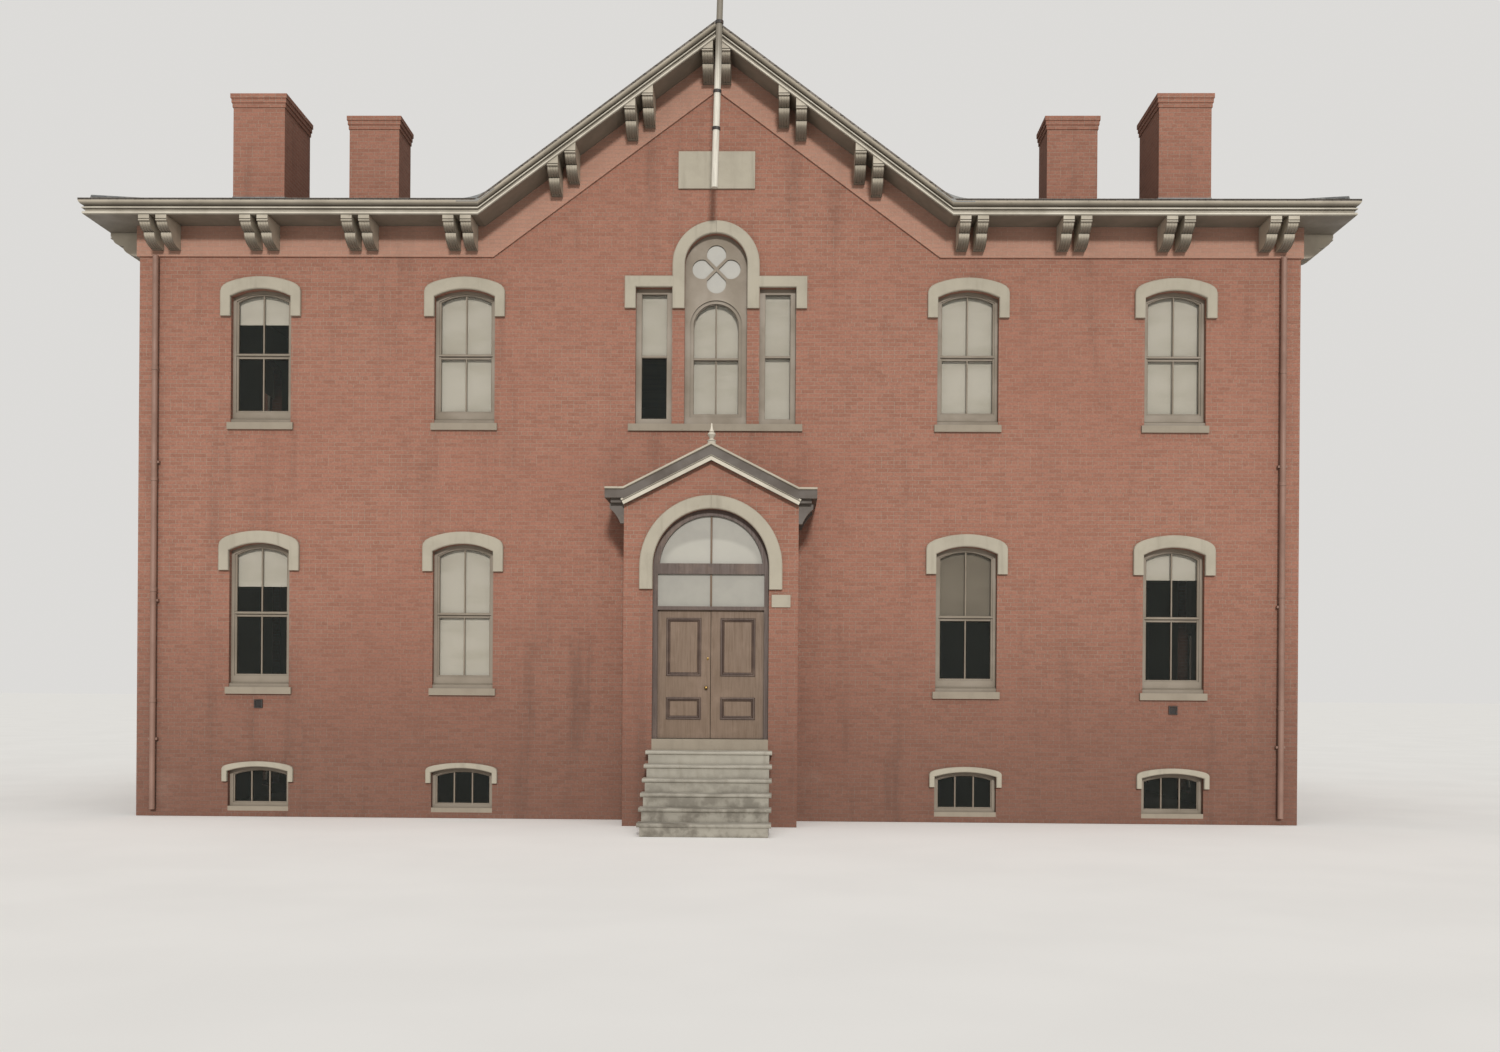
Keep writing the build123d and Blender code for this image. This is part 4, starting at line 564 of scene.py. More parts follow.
def door_material(name, colour, dark):
    """Oak under varnish that has dulled: upright grain, paler and drier in patches, a weak sheen, and painted
    shade in its recesses.
    """
    made, tree, shader, place = started(name, Roughness=0.5)
    # Oak's 2 mm grain is drawn 24 mm wide so that it shows, and 450 mm long
    lengthwise = node(tree, "Mapping", {0: place, 3: (42.0, 42.0, 2.2)})
    grain = node(tree, "TexNoise", {"Vector": lengthwise, "Scale": 1.0, "Detail": 6.0, "Roughness": 0.65})
    coated = layered(
        tree, colour,
        (node(tree, "MapRange", (grain, 0.35, 0.7, 0.0, 0.5), **SMOOTH), dark),
        (patches(tree, place, (3.0, 4.0, 0.55), (0.45, 0.75), 0.3), rgb("8C7563")),
        # Painted shade in the recesses round the panels, with some dirt
        (painted_shade_and_dirt(tree, 0.05, 0.6), rgb("2C211A")),
    )
    roughness = node(tree, "MapRange", (grain, 0.3, 0.7, 0.42, 0.62), **SMOOTH)
    finished(tree, shader, coated, grain, 0.0006, roughness)
    return made


def shingle_material():
    """Split cedar shingles, silvered by weather: narrow upright slots, stepped butts with painted shadow
    under each, and stained courses.
    """
    wood = bpy.context.scene.school_wood
    made, tree, shader, place = started("weathered cedar shingle", Roughness=0.9, Specular_IOR_Level=0.2)
    facing = node(tree, "SeparateXYZ", [node(tree, "NewGeometry", out="True Normal")]).node.outputs
    where = node(tree, "SeparateXYZ", [place]).node.outputs
    aside, ahead = (node(tree, "Math", [side], operation="ABSOLUTE") for side in facing[:2])
    sideways = node(tree, "Math", (aside, ahead), operation="GREATER_THAN")
    along = node(tree, "Mix", {0: sideways, 2: where[0], 3: where[1]}, data_type="FLOAT")
    # Distance up the slope is the height over the sine of the slope
    level = node(tree, "Math", (facing[2], 0.05), operation="MAXIMUM")
    squared = node(tree, "Math", (level, level), operation="MULTIPLY")
    steep = node(tree, "Math", (1.0001, squared), operation="SUBTRACT")
    steep = node(tree, "Math", [steep], operation="SQRT")
    climb = node(tree, "Math", (where[2], steep), operation="DIVIDE")
    vector = node(tree, "CombineXYZ", (along, climb))
    courses = node(tree, "TexBrick", {
        "Vector": vector, "Scale": 1.0, "Brick Width": wood.shingle_width, "Row Height": wood.shingle_course,
        "Mortar Size": 0.0035, "Mortar Smooth": 0.1, "Color1": wood.shingle, "Color2": rgb("87807A"),
        "Mortar": rgb("2B2723"), "Bias": 0.0,
    }, offset=0.37, squash=0.7, squash_frequency=3)
    step = node(tree, "Math", (climb, wood.shingle_course), operation="DIVIDE")
    step = node(tree, "Math", [step], operation="FRACT")
    # Split grain 17 mm wide and 200 mm long, under stains of 2 m
    lengthwise = node(tree, "Mapping", {0: vector, 3: (60.0, 5.0, 1.0)})
    grain = node(tree, "TexNoise", {"Vector": lengthwise, "Scale": 1.0, "Detail": 4.0, "Roughness": 0.55})
    coated = layered(
        tree, courses,
        (patches(tree, place, (0.5, 5.0, 0.6), (0.35, 0.7), 0.5), rgb("4C4640")),
        (node(tree, "MapRange", (grain, 0.35, 0.75, 0.0, 0.4), **SMOOTH), rgb("39342F")),
        # Painted shadow under the butts of the course above
        (node(tree, "MapRange", (step, 0.86, 1.0, 0.0, 0.6), **SMOOTH), rgb("26221F")),
    )
    slots = node(tree, "Math", (courses.node.outputs["Fac"], 0.6), operation="MULTIPLY")
    butts = node(tree, "Math", (1.0, step), operation="SUBTRACT")
    butts = node(tree, "Math", (butts, slots), operation="SUBTRACT")
    relief = node(tree, "Math", (grain, 0.12, butts), operation="MULTIPLY_ADD")
    finished(tree, shader, coated, relief, 0.012)
    return made


def board_material():
    """Wide pine floor boards, scrubbed and worn: thin dark joints 150 mm apart and a soft long grain."""
    made, tree, shader, place = started("scrubbed pine boards", Roughness=0.7)
    boards = node(tree, "TexBrick", {
        "Vector": place, "Scale": 1.0, "Brick Width": 3.6, "Row Height": 0.15, "Mortar Size": 0.002,
        "Color1": rgb("8A7358"), "Color2": rgb("75604A"), "Mortar": rgb("2E241B"),
    })
    # Grain 25 mm wide and 500 mm long
    lengthwise = node(tree, "Mapping", {0: place, 3: (2.0, 40.0, 40.0)})
    grain = node(tree, "TexNoise", {"Vector": lengthwise, "Scale": 1.0, "Detail": 5.0, "Roughness": 0.55})
    worn = node(tree, "MapRange", (grain, 0.35, 0.7, 0.0, 0.4), **SMOOTH)
    relief = node(tree, "Math", (grain, boards.node.outputs["Fac"]), operation="SUBTRACT")
    finished(tree, shader, layered(tree, boards, (worn, rgb("5B4836"))), relief, 0.001)
    return made


def iron_material():
    """Cast iron under dull black paint, brown with rust where the paint has gone."""
    made, tree, shader, place = started("painted cast iron", Roughness=0.6, Metallic=0.0)
    # Rust in spots of 45 mm, and the casting's pits of 6 mm
    rust = patches(tree, place, (22.0, 7.0, 0.65), (0.5, 0.7))
    coated = layered(tree, rgb("2A2725"), (rust, rgb("553A2B")))
    roughness = node(tree, "MapRange", (rust, 0.0, 1.0, 0.5, 0.85), **SMOOTH)
    pits = node(tree, "TexNoise", {"Vector": place, "Scale": 160.0, "Detail": 3.0, "Roughness": 0.55})
    finished(tree, shader, coated, pits, 0.0006, roughness)
    return made


def brass_material():
    """Cast brass, browned by hands and weather in soft clouds."""
    made, tree, shader, place = started("browned brass", Metallic=1.0, Roughness=0.4)
    # Clouds of 22 mm, about half a knob, and pits of 3 mm
    cloud = node(tree, "TexNoise", {"Vector": place, "Scale": 45.0, "Detail": 4.0, "Roughness": 0.55})
    brown = node(tree, "MapRange", (cloud, 0.35, 0.7, 0.0, 1.0), **SMOOTH)
    coated = layered(tree, rgb("8E7343"), (brown, rgb("4A3B26")))
    roughness = node(tree, "MapRange", (cloud, 0.3, 0.7, 0.3, 0.55), **SMOOTH)
    pits = node(tree, "TexNoise", {"Vector": place, "Scale": 300.0, "Detail": 2.0, "Roughness": 0.55})
    finished(tree, shader, coated, pits, 0.0002, roughness)
    return made


def lead_material():
    """Old sheet lead and tin flashing: dull grey with white bloom and soft dents."""
    made, tree, shader, place = started("old sheet lead", Metallic=0.6, Roughness=0.6)
    # Bloom in spots of 125 mm, and dents of 70 mm from dressing with a mallet
    bloom = node(tree, "TexNoise", {"Vector": place, "Scale": 8.0, "Detail": 6.0, "Roughness": 0.6})
    white = node(tree, "MapRange", (bloom, 0.4, 0.7, 0.0, 1.0), **SMOOTH)
    coated = layered(tree, rgb("5D5F60"), (white, rgb("8B8B88")))
    roughness = node(tree, "MapRange", (bloom, 0.3, 0.7, 0.45, 0.7), **SMOOTH)
    dents = node(tree, "TexNoise", {"Vector": place, "Scale": 14.0, "Detail": 3.0, "Roughness": 0.55})
    finished(tree, shader, coated, dents, 0.002, roughness)
    return made


def glass_material():
    """Hand-blown cylinder glass: clear, with a faint green cast, and uneven so that reflections waver."""
    made, tree, shader, place = started("cylinder glass", Roughness=0.03, IOR=1.5, Alpha=0.16)
    cast = node(tree, "TexNoise", {"Vector": place, "Scale": 3.0, "Detail": 2.0, "Roughness": 0.55})
    # The sheet wavers over 330 mm across and 830 mm along its draw
    drawn = node(tree, "Mapping", {0: place, 3: (3.0, 3.0, 1.2)})
    waver = node(tree, "TexNoise", {"Vector": drawn, "Scale": 1.0, "Detail": 2.0, "Roughness": 0.55})
    finished(tree, shader, layered(tree, rgb("2E322F"), (cast, rgb("3E433F"))), waver, 0.002)
    return made


def fan_material():
    """Ground glass: chalky, pale, faintly glossy, and paler still in a half oval at the foot of the fan,
    which is a painted reflection of the sky.
    """
    made, tree, shader, place = started("ground glass", Roughness=0.4, IOR=1.5)
    where = node(tree, "SeparateXYZ", [place]).node.outputs
    rise = node(tree, "Math", (where[2], FAN_FOOT), operation="SUBTRACT")
    reach = 0.0
    for distance, half in ((where[0], FAN_OVAL[0]), (rise, FAN_OVAL[1])):
        share = node(tree, "Math", (distance, half), operation="DIVIDE")
        reach = node(tree, "Math", (share, share, reach), operation="MULTIPLY_ADD")
    reach = node(tree, "Math", [reach], operation="SQRT")
    # Painted reflection of the sky: paler in a half oval over the foot of the fan
    oval = node(tree, "MapRange", (reach, 0.9, 1.08, 0.45, 0.0), **SMOOTH)
    in_fan = node(tree, "Math", (where[2], FAN_FOOT - 0.08), operation="GREATER_THAN")
    painted_reflection = node(tree, "Math", (oval, in_fan), operation="MULTIPLY")
    coated = layered(
        tree, rgb("918E84"),
        (patches(tree, place, (4.0, 4.0, 0.55), (0.3, 0.7), 0.5), rgb("85827A")),
        (painted_reflection, rgb("B5B2A7")),
    )
    # Frost of 0.1 mm is too fine to show, so it is drawn 4 mm coarse
    frost = node(tree, "TexNoise", {"Vector": place, "Scale": 260.0, "Detail": 2.0, "Roughness": 0.55})
    finished(tree, shader, coated, frost, 0.0004)
    return made


def pole_material():
    """Spruce pole under white paint, worn to grey wood higher up where the weather takes the paint off."""
    made, tree, shader, place = started("white pole paint", Roughness=0.6)
    level = node(tree, "SeparateXYZ", [place], 2)
    # Grain 17 mm wide and 500 mm long
    lengthwise = node(tree, "Mapping", {0: place, 3: (60.0, 60.0, 2.0)})
    grain = node(tree, "TexNoise", {"Vector": lengthwise, "Scale": 1.0, "Detail": 5.0, "Roughness": 0.55})
    edge = node(tree, "Math", (grain, 0.8, level), operation="MULTIPLY_ADD")
    coated = layered(
        tree, rgb("D2CDC0"),
        (node(tree, "MapRange", (edge, 12.6, 13.6, 0.0, 1.0), **SMOOTH), rgb("7B7468")),
        (node(tree, "MapRange", (grain, 0.45, 0.75, 0.0, 0.4), **SMOOTH), rgb("6A6358")),
    )
    finished(tree, shader, coated, grain, 0.001)
    return made


def cloth_material(name, colour, aged):
    """Holland blind cloth, plain weave glazed with starch, yellowed in bands by the sun."""
    made, tree, shader, place = started(name, Roughness=0.75, Specular_IOR_Level=0.3)
    # Bands 330 mm high and soft folds 330 mm wide; threads of 0.5 mm are too fine to show
    banded = node(tree, "Mapping", {0: place, 3: (1.0, 1.0, 3.0)})
    folded = node(tree, "Mapping", {0: place, 3: (3.0, 3.0, 0.8)})
    folds = node(tree, "TexNoise", {"Vector": folded, "Scale": 1.0, "Detail": 3.0, "Roughness": 0.55})
    bands = patches(tree, banded, (1.0, 4.0, 0.55), (0.35, 0.75), 0.5)
    finished(tree, shader, layered(tree, colour, (bands, aged)), folds, 0.004)
    return made


def stage_material(name, colour):
    """Plain matt surface, a shade darker in wide soft patches."""
    made, tree, shader, place = started(name, Roughness=0.95, Specular_IOR_Level=0.0)
    # Patches 2.5 m wide
    darker = [0.97 * c for c in colour]
    floor = layered(tree, colour, (patches(tree, place, (0.4, 2.0, 0.55), (0.3, 0.7)), darker))
    tree.links.new(floor, shader.inputs["Base Color"])
    return made


# Finishes by their short names, made by the first operator after the stage
MATERIALS = {}


def finish_nodes(names, material):
    """Give each CAD node one material, facet edges sharp."""
    for name in names:
        mesh = NODES[name].data
        mesh.materials.clear()
        mesh.materials.append(material)
        mesh.polygons.foreach_set("use_smooth", np.zeros(len(mesh.polygons), bool))


class SCHOOL_OT_materials(bpy.types.Operator):
    """Make every finish and give each frame node its own"""
    bl_idname = "school.materials"
    bl_label = "Finish the frame"

    def execute(self, context):
        walls, wood = context.scene.school_walls, context.scene.school_wood
        blinds = context.scene.school_blinds
        MATERIALS.update(
            brick=brick_material("soft red brick", 0.0),
            frieze_brick=brick_material("clean red brick", 0.35),
            stone=stone_material("painted sandstone", walls.stone, rgb("979081")),
            sill=stone_material("bare brownstone", walls.sill, rgb("857A6C"), 0.2),
            tread=stone_material("worn bluestone", walls.tread, rgb("8E897E"), 0.3, 0.6),
            trim=paint_material("stone-coloured oil paint", wood.trim, rgb("8F8778")),
            pale=paint_material("pale oil paint", rgb("CFC8B8"), rgb("A8A091"), 0.3),
            # Drab paint for the porch cornice and brackets, darker than the trim, partly painted shade on the
            # fascia, eave returns and brackets
            drab=paint_material("drab oil paint", rgb("514840"), rgb("453D35")),
            sash=paint_material("drab sash paint", wood.sash, rgb("776D5F"), 0.35),
            door=door_material("dulled oak varnish", wood.door, rgb("54412F")),
            # Darker varnish: the door frame's own colour, and painted shade along the panel mouldings
            door_dark=door_material("dark oak varnish", rgb("4E3D34"), rgb("382B23")),
            shingle=shingle_material(),
            boards=board_material(),
            iron=iron_material(),
            brass=brass_material(),
            lead=lead_material(),
            glass=glass_material(),
            fan=fan_material(),
            cloth=cloth_material("glazed holland cloth", blinds.cloth, rgb("C4BBA6")),
            drab_cloth=cloth_material("brown holland cloth", rgb("8F8473"), rgb("7C7161")),
            pipe=paint_material("brown pipe paint", rgb("8C6C5E"), rgb("74594D")),
            pole=pole_material(),
        )
        groups = {
            "brick": ["front_wall_left", "front_wall_right", "front_wall_base", "front_wall_piers",
                      "front_gable_wall", "back_wall", "back_gable_wall", "left_wall", "right_wall",
                      "chimneys", "porch_side_walls", "porch_piers", "porch_arch_wall"],
            "frieze_brick": ["eaves_frieze", "side_frieze", "gable_frieze"],
            "stone": ["window_hoods", "triple_window_hood", "porch_arch_hood", "gable_tablet", "porch_plate"],
            "sill": ["window_sills", "door_sill"],
            "tread": ["step_treads", "steps_base"],
            "trim": ["eaves_cornice", "side_cornice", "gable_cornice", "eaves_brackets", "gable_brackets"],
            "drab": ["porch_cornice", "porch_brackets", "porch_finial"],
            "sash": ["window_frames", "triple_window_tracery"],
            "shingle": ["wing_roofs", "gable_roof", "porch_roof"],
            "boards": ["ground_floor", "upper_floor", "attic_floor", "porch_floor"],
            "door": ["left_door", "right_door"],
            "door_dark": ["door_frame"],
            "glass": ["window_glass"],
            "fan": ["fanlight_glass"],
            "pole": ["flagpole"],
            "iron": ["flagpole_irons", "wall_vents", "door_hinges"],
            "pipe": ["downspouts"],
            "brass": ["door_knob"],
        }
        for key, names in groups.items():
            finish_nodes(names, MATERIALS[key])
        left = set(NODES) - {name for names in groups.values() for name in names}
        if left:
            raise RuntimeError(f"nodes without a finish: {sorted(left)}")
        # Masons ease the arrises of sills and plates
        for name in ("window_sills", "gable_tablet", "porch_plate", "door_sill"):
            ease = NODES[name].modifiers.new("eased_edges", "BEVEL")
            ease.width = 0.006
            ease.segments = 2
            ease.limit_method = "ANGLE"
            ease.angle_limit = math.radians(50)
        return {"FINISHED"}


def bar_profile(width, depth):
    """Section of a window bar: flat back on the glass, and a bevel on each side of a narrow front face."""
    half, bead = width / 2, min(width, depth) * 0.3
    return [(-half, 0), (-half, -depth + bead), (-half + bead, -depth),
            (half - bead, -depth), (half, -depth + bead), (half, 0)]


def upright(x, low, high, y, width, depth):
    """Bar from low to high at x, with its back at y."""
    return sweep(bar_profile(width, depth), [(x, y, low), (x, y, high)], (0, 1, 0))


def level_bar(left, right, z, y, width, depth):
    """Bar from left to right at height z, with its back at y."""
    return sweep(bar_profile(width, depth), [(left, y, z), (right, y, z)], (0, 1, 0))


def head_at(x, half, spring, rise):
    """Height of a segmental head over x: spring plus the arc's height there."""
    radius = (half ** 2 + rise ** 2) / (2 * rise)
    return spring + rise - radius + math.sqrt(radius ** 2 - x ** 2)


def sash_loop(half, foot, spring, rise, y, width, depth):
    """Moulded sash edge round one light with a segmental head, drawn inside the opening."""
    head = bow((half, spring), (-half, spring), -rise, 2 * HEAD_CHORDS) if rise else np.zeros((0, 2))
    outline = np.vstack([[(-half, spring), (-half, foot), (half, foot), (half, spring)], head])
    path = np.stack([outline[:, 0], np.full(len(outline), y), outline[:, 1]], axis=-1)
    bead = width * 0.35
    profile = [(0, 0), (0, -depth), (width - bead, -depth), (width, -depth + bead), (width, 0)]
    return sweep(profile, path, (0, 1, 0), closed=True)


def storey_window(sill_top, spring, wood):
    """Sash of two lights over two: a moulded edge, a meeting rail, and one upright muntin."""
    half = WINDOW_WIDTH / 2 - FRAME_WIDTH
    foot = sill_top + SUB_SILL + SASH_RAIL
    y = REVEAL + FRAME_DEPTH
    head = spring - FRAME_WIDTH
    # The meeting rails stand a little below the middle
    middle = (sill_top + SUB_SILL + spring + WINDOW_RISE) / 2 - 0.03
    rail = wood.meeting_rail
    return [
        sash_loop(half, foot, head, WINDOW_RISE, y=y, width=0.034, depth=0.04),
        level_bar(-half, half, middle + rail * 0.5, y, rail, depth=0.055),
        level_bar(-half, half, middle - rail * 0.42, y, rail * 0.84, depth=0.025),
        upright(0, foot, head_at(0, half, head, WINDOW_RISE) - 0.02, y, wood.muntin, depth=0.03),
    ]


def basement_window(wood):
    """Cellar sash of three lights: a thin edge and two upright bars."""
    sill_top, spring, rise, width = BASEMENT
    half = width / 2 - FRAME_WIDTH
    foot, head = sill_top + FRAME_WIDTH, spring - FRAME_WIDTH
    y = REVEAL + FRAME_DEPTH
    parts = [sash_loop(half, foot, head, rise, y=y, width=0.022, depth=0.035)]
    for x in (-half / 3, half / 3):
        parts.append(upright(x, foot, head_at(x, half, head, rise) - 0.01, y, wood.muntin, depth=0.03))
    return parts


class SCHOOL_OT_sashes(bpy.types.Operator):
    """Add the meeting rails, muntins and moulded sash edges of every window"""
    bl_idname = "school.sashes"
    bl_label = "Window sashes"

    def execute(self, context):
        wood = context.scene.school_wood
        parts = []
        for wall, places in WALL_PLACES.items():
            for along in places:
                for sill_top, spring in STOREYS.values():
                    parts += [on_wall(wall, along, part) for part in storey_window(sill_top, spring, wood)]
                parts += [on_wall(wall, along, part) for part in basement_window(wood)]
        piece("window_sashes", parts, MATERIALS["sash"], slot="painted_trim")
        y = REVEAL + FRAME_DEPTH
        foot, head = STOREYS["upper"][0] + SASH_RAIL, SIDE_LIGHT_HEAD - SIDE_LIGHT_SASH
        middle = (foot + head) / 2
        triple = []
        for side in (-1, 1):
            centre, half = side * SIDE_LIGHT_X, SIDE_LIGHT_WIDTH / 2 - SIDE_LIGHT_SASH
            edge = sash_loop(half, foot, head, 0, y=y, width=0.01, depth=0.045)
            triple.append(moved(edge, (centre, 0, 0)))
            triple.append(level_bar(centre - half, centre + half, middle, y, wood.meeting_rail, depth=0.05))
        y = REVEAL + TRACERY_DEPTH
        half = CENTRE_SASH / 2 - FRAME_WIDTH
        foot = CENTRE_SASH_FOOT + FRAME_WIDTH
        middle = (CENTRE_SASH_FOOT + CENTRE_SASH_SPRING + CENTRE_SASH / 2) / 2
        # The head is just short of a half circle, so that its radius stays above its rise
        triple.append(sash_loop(half, foot, CENTRE_SASH_SPRING, half * 0.999, y=y, width=0.01, depth=0.055))
        triple.append(level_bar(-half, half, middle, y, wood.meeting_rail, depth=0.06))
        triple.append(upright(0, foot, CENTRE_SASH_SPRING + half - 0.01, y, wood.muntin, depth=0.035))
        placed = [on_wall("front", 0, part) for part in triple]
        piece("triple_window_sashes", placed, MATERIALS["sash"], slot="painted_trim")
        return {"FINISHED"}


def blind(width, low, high, depth, wave, phase):
    """Hanging cloth: y is the depth plus the wave times a slow sine across and a slower one down."""
    across = np.linspace(-width / 2, width / 2, 13)
    down = np.linspace(high, low, 25)
    x, z = np.meshgrid(across, down)
    y = depth + wave * np.sin(5.1 * x / width + phase) * np.sin(2.3 * (high - z) / width + 1.7 * phase)
    return surface(np.stack([x, y, z], axis=-1))


def shade_drop(wall, storey, along):
    """Share of a window that its blind covers, from the head down."""
    if wall == "front":
        return FRONT_DROPS.get((storey, along), 1.0)
    place = WALL_PLACES[wall].index(along) + (0 if storey == "ground" else 2)
    return OTHER_DROPS[place % len(OTHER_DROPS)]


class SCHOOL_OT_tracery_glass(bpy.types.Operator):
    """Set one obscured pane behind the quatrefoil of the triple window"""
    bl_idname = "school.tracery_glass"
    bl_label = "Quatrefoil glass"

    def execute(self, context):
        front = REVEAL + 0.03
        half = CENTRE_LIGHT / 2 - 0.02
        angle = np.linspace(0, math.pi, 17)
        head = np.stack([half * np.cos(angle), CENTRE_SPRING + (half - 0.01) * np.sin(angle)], axis=-1)
        edge = np.vstack([head, [(-half, OBSCURED_FOOT), (half, OBSCURED_FOOT)]])
        pane = np.stack([np.column_stack([edge[:, 0], np.full(len(edge), y), edge[:, 1]])
                         for y in (front, front + 0.005)])
        part = on_wall("front", 0, surface(pane, wrap=True, caps=True))
        piece("quatrefoil_obscured_glass", [part], MATERIALS["fan"])
        return {"FINISHED"}


class SCHOOL_OT_blinds(bpy.types.Operator):
    """Hang a cloth roller blind behind each storey window"""
    bl_idname = "school.blinds"
    bl_label = "Roller blinds"

    def execute(self, context):
        blinds = context.scene.school_blinds
        depth = REVEAL + FRAME_DEPTH + 0.01 + blinds.clearance
        sill_top = STOREYS["upper"][0]
        # Name, wall, place, width, head and foot of each blind, and its depth behind the wall's face
        sheets = []
        for wall, places in WALL_PLACES.items():
            for number, along in enumerate(places):
                for storey, (sill, spring) in STOREYS.items():
                    top = spring + WINDOW_RISE
                    low = top - shade_drop(wall, storey, along) * (top - sill - BLIND_FOOT)
                    sheets.append((f"blind_{wall}_{storey}_{number + 1}", wall, along,
                                   WINDOW_WIDTH - BLIND_SIDES, top - BLIND_HEAD, low, depth))
        for name, along, opening, top, drop, y in (
            ("left", -SIDE_LIGHT_X, SIDE_LIGHT_WIDTH, SIDE_LIGHT_HEAD - BLIND_HEAD, 0.5, depth),
            ("right", SIDE_LIGHT_X, SIDE_LIGHT_WIDTH, SIDE_LIGHT_HEAD - BLIND_HEAD, 1.0, depth),
            ("middle", 0, CENTRE_LIGHT, CENTRE_SASH_SPRING + CENTRE_SASH / 2 + 0.04, 1.0,
             depth + TRACERY_DEPTH - FRAME_DEPTH),
        ):
            low = top - drop * (top - sill_top - BLIND_FOOT)
            sheets.append((f"blind_triple_{name}", "front", along, opening - BLIND_SIDES, top, low, y))
        for count, (name, wall, along, width, top, low, y) in enumerate(sheets):
            part = on_wall(wall, along, blind(width, low, top, y, blinds.wave, count * 1.3))
            made = piece(name, [part], MATERIALS["drab_cloth" if name == BROWN_BLIND else "cloth"])
        return {"FINISHED"}


def hood(spring, rise, width, leg, band, hood_rise, drop, bead=0.012):
    """Stone hood: outline rows between the inner and outer edges, carried to the front with eased arrises.

    Inner edge: leg, segmental arc, leg. Outer edge: leg, shoulder, arc, shoulder, leg. A shoulder is the
    curve (1 - t)^2 A + 2t (1 - t) B + t^2 C from the leg A past the corner B to the arc C."""
    half, outer = width / 2, width / 2 + leg
    outer_spring = spring + rise + band - hood_rise
    foot = spring - drop
    steps, turn = 14, 4
    springs = (-half, spring), (half, spring)
    inner_arc = np.vstack([springs[:1], bow(*springs, rise, steps), springs[1:]])
    ends = (-outer, outer_spring), (outer, outer_spring)
    outer_arc = np.vstack([ends[:1], bow(*ends, hood_rise, steps), ends[1:]])
    ease = 0.55 * leg
    share = np.linspace(0, 1, turn)[:, None]
    landing = outer_arc[1] + 0.4 * (outer_arc[2] - outer_arc[1])
    shoulder = ((1 - share) ** 2 * [-outer, outer_spring - ease] + 2 * share * (1 - share) * outer_arc[0]
                + share ** 2 * landing)
    near = inner_arc[0] + np.linspace(0, 1, turn)[:, None] * (
        inner_arc[1] + 0.4 * (inner_arc[2] - inner_arc[1]) - inner_arc[0])
    mirrored = [-1, 1]
    inner = np.vstack([[(-half, foot)], near, inner_arc[2:-2], (near * mirrored)[::-1], [(half, foot)]])
    outside = np.vstack([
        [(-outer, foot)], shoulder, outer_arc[2:-2], (shoulder * mirrored)[::-1], [(outer, foot)]])
    return eased_band(inner, outside, bead, bead / leg)


def eased_band(inner, outside, bead, eased):
    """Stone band between two outlines of (x, z): arrises eased by the bead and by a share of the width."""
    share = np.array([0, 0, eased, 1 - eased, 1, 1])
    depth = np.array([0, bead, 0, 0, bead, 0]) - HOOD_PROJECTION * np.array([0, 1, 1, 1, 1, 0])
    line = inner[:, None, :] + share[None, :, None] * (outside - inner)[:, None, :]
    grid = np.stack([line[..., 0], np.broadcast_to(depth, line.shape[:2]), line[..., 1]], axis=-1)
    return surface(grid, wrap=True, caps=True)


def round_hood(half, foot, spring, band, y, bead=0.014):
    """Half-round stone hood in two stones that meet in a fine upright joint at the crown.

    The path climbs a leg, follows a quarter circle and ends in a short level run, which squares the joint."""
    out = HOOD_PROJECTION
    profile = [(0, 0), (0, -out + bead), (-bead, -out), (bead - band, -out), (-band, -out + bead), (-band, 0)]
    joint = 0.003
    angle = np.linspace(0, math.pi / 2 - 0.03, 16)
    arc = np.stack([half * np.cos(angle), np.full(16, y), spring + half * np.sin(angle)], axis=-1)
    path = np.vstack([[(half, y, foot)], arc, [(joint / 2, y, arc[-1, 2])]])
    points, faces = sweep(profile, path, (0, 1, 0))
    return [(points * [side, 1, 1], faces) for side in (-1, 1)]


def flat_hood(side, edge, inner, head, foot, band, bead=0.012):
    """Flat hood stone over a narrow light with a leg down its outer side: an L-shaped band."""
    outline = np.array([(inner, head), (edge, head), (edge, foot)])
    outside = np.array([(inner, head + band), (edge + band, head + band), (edge + band, foot)])
    return eased_band(outline * [side, 1], outside * [side, 1], bead, bead / band)


class SCHOOL_OT_hoods(bpy.types.Operator):
    """Carve the stone hoods of every window with true arcs and eased edges"""
    bl_idname = "school.hoods"
    bl_label = "Window hoods"

    def execute(self, context):
        stones = [hood(spring, WINDOW_RISE, WINDOW_WIDTH, *STOREY_HOOD) for _, spring in STOREYS.values()]
        stones.append(hood(*BASEMENT[1:], *BASEMENT_HOOD))
        parts = [on_wall(wall, along, stone)
                 for wall, places in WALL_PLACES.items() for along in places for stone in stones]
        piece("hood_stones", parts, MATERIALS["stone"], replaces=["window_hoods"], slot="painted_stone")
        half, foot = CENTRE_LIGHT / 2, CENTRE_SPRING - TRIPLE_HOOD_DROP
        stones = round_hood(half, foot, CENTRE_SPRING, TRIPLE_HOOD_BAND, 0)
        for side in (-1, 1):
            stones.append(flat_hood(side, SIDE_LIGHT_X + SIDE_LIGHT_WIDTH / 2, half + FLAT_HOOD_START,
                                    SIDE_LIGHT_HEAD, foot, FLAT_HOOD_BAND))
        piece("triple_hood_stones", [on_wall("front", 0, stone) for stone in stones], MATERIALS["stone"],
              replaces=["triple_window_hood"], slot="painted_stone")
        return {"FINISHED"}


def scroll(start, end, steps):
    """Quarter of an ellipse from upright to level: out = e + (s - e) cos t and up = s + (e - s) sin t."""
    angle = np.linspace(0, math.pi / 2, steps)
    out = end[0] + (start[0] - end[0]) * np.cos(angle)
    return np.stack([out, start[1] + (end[1] - start[1]) * np.sin(angle)], axis=-1)


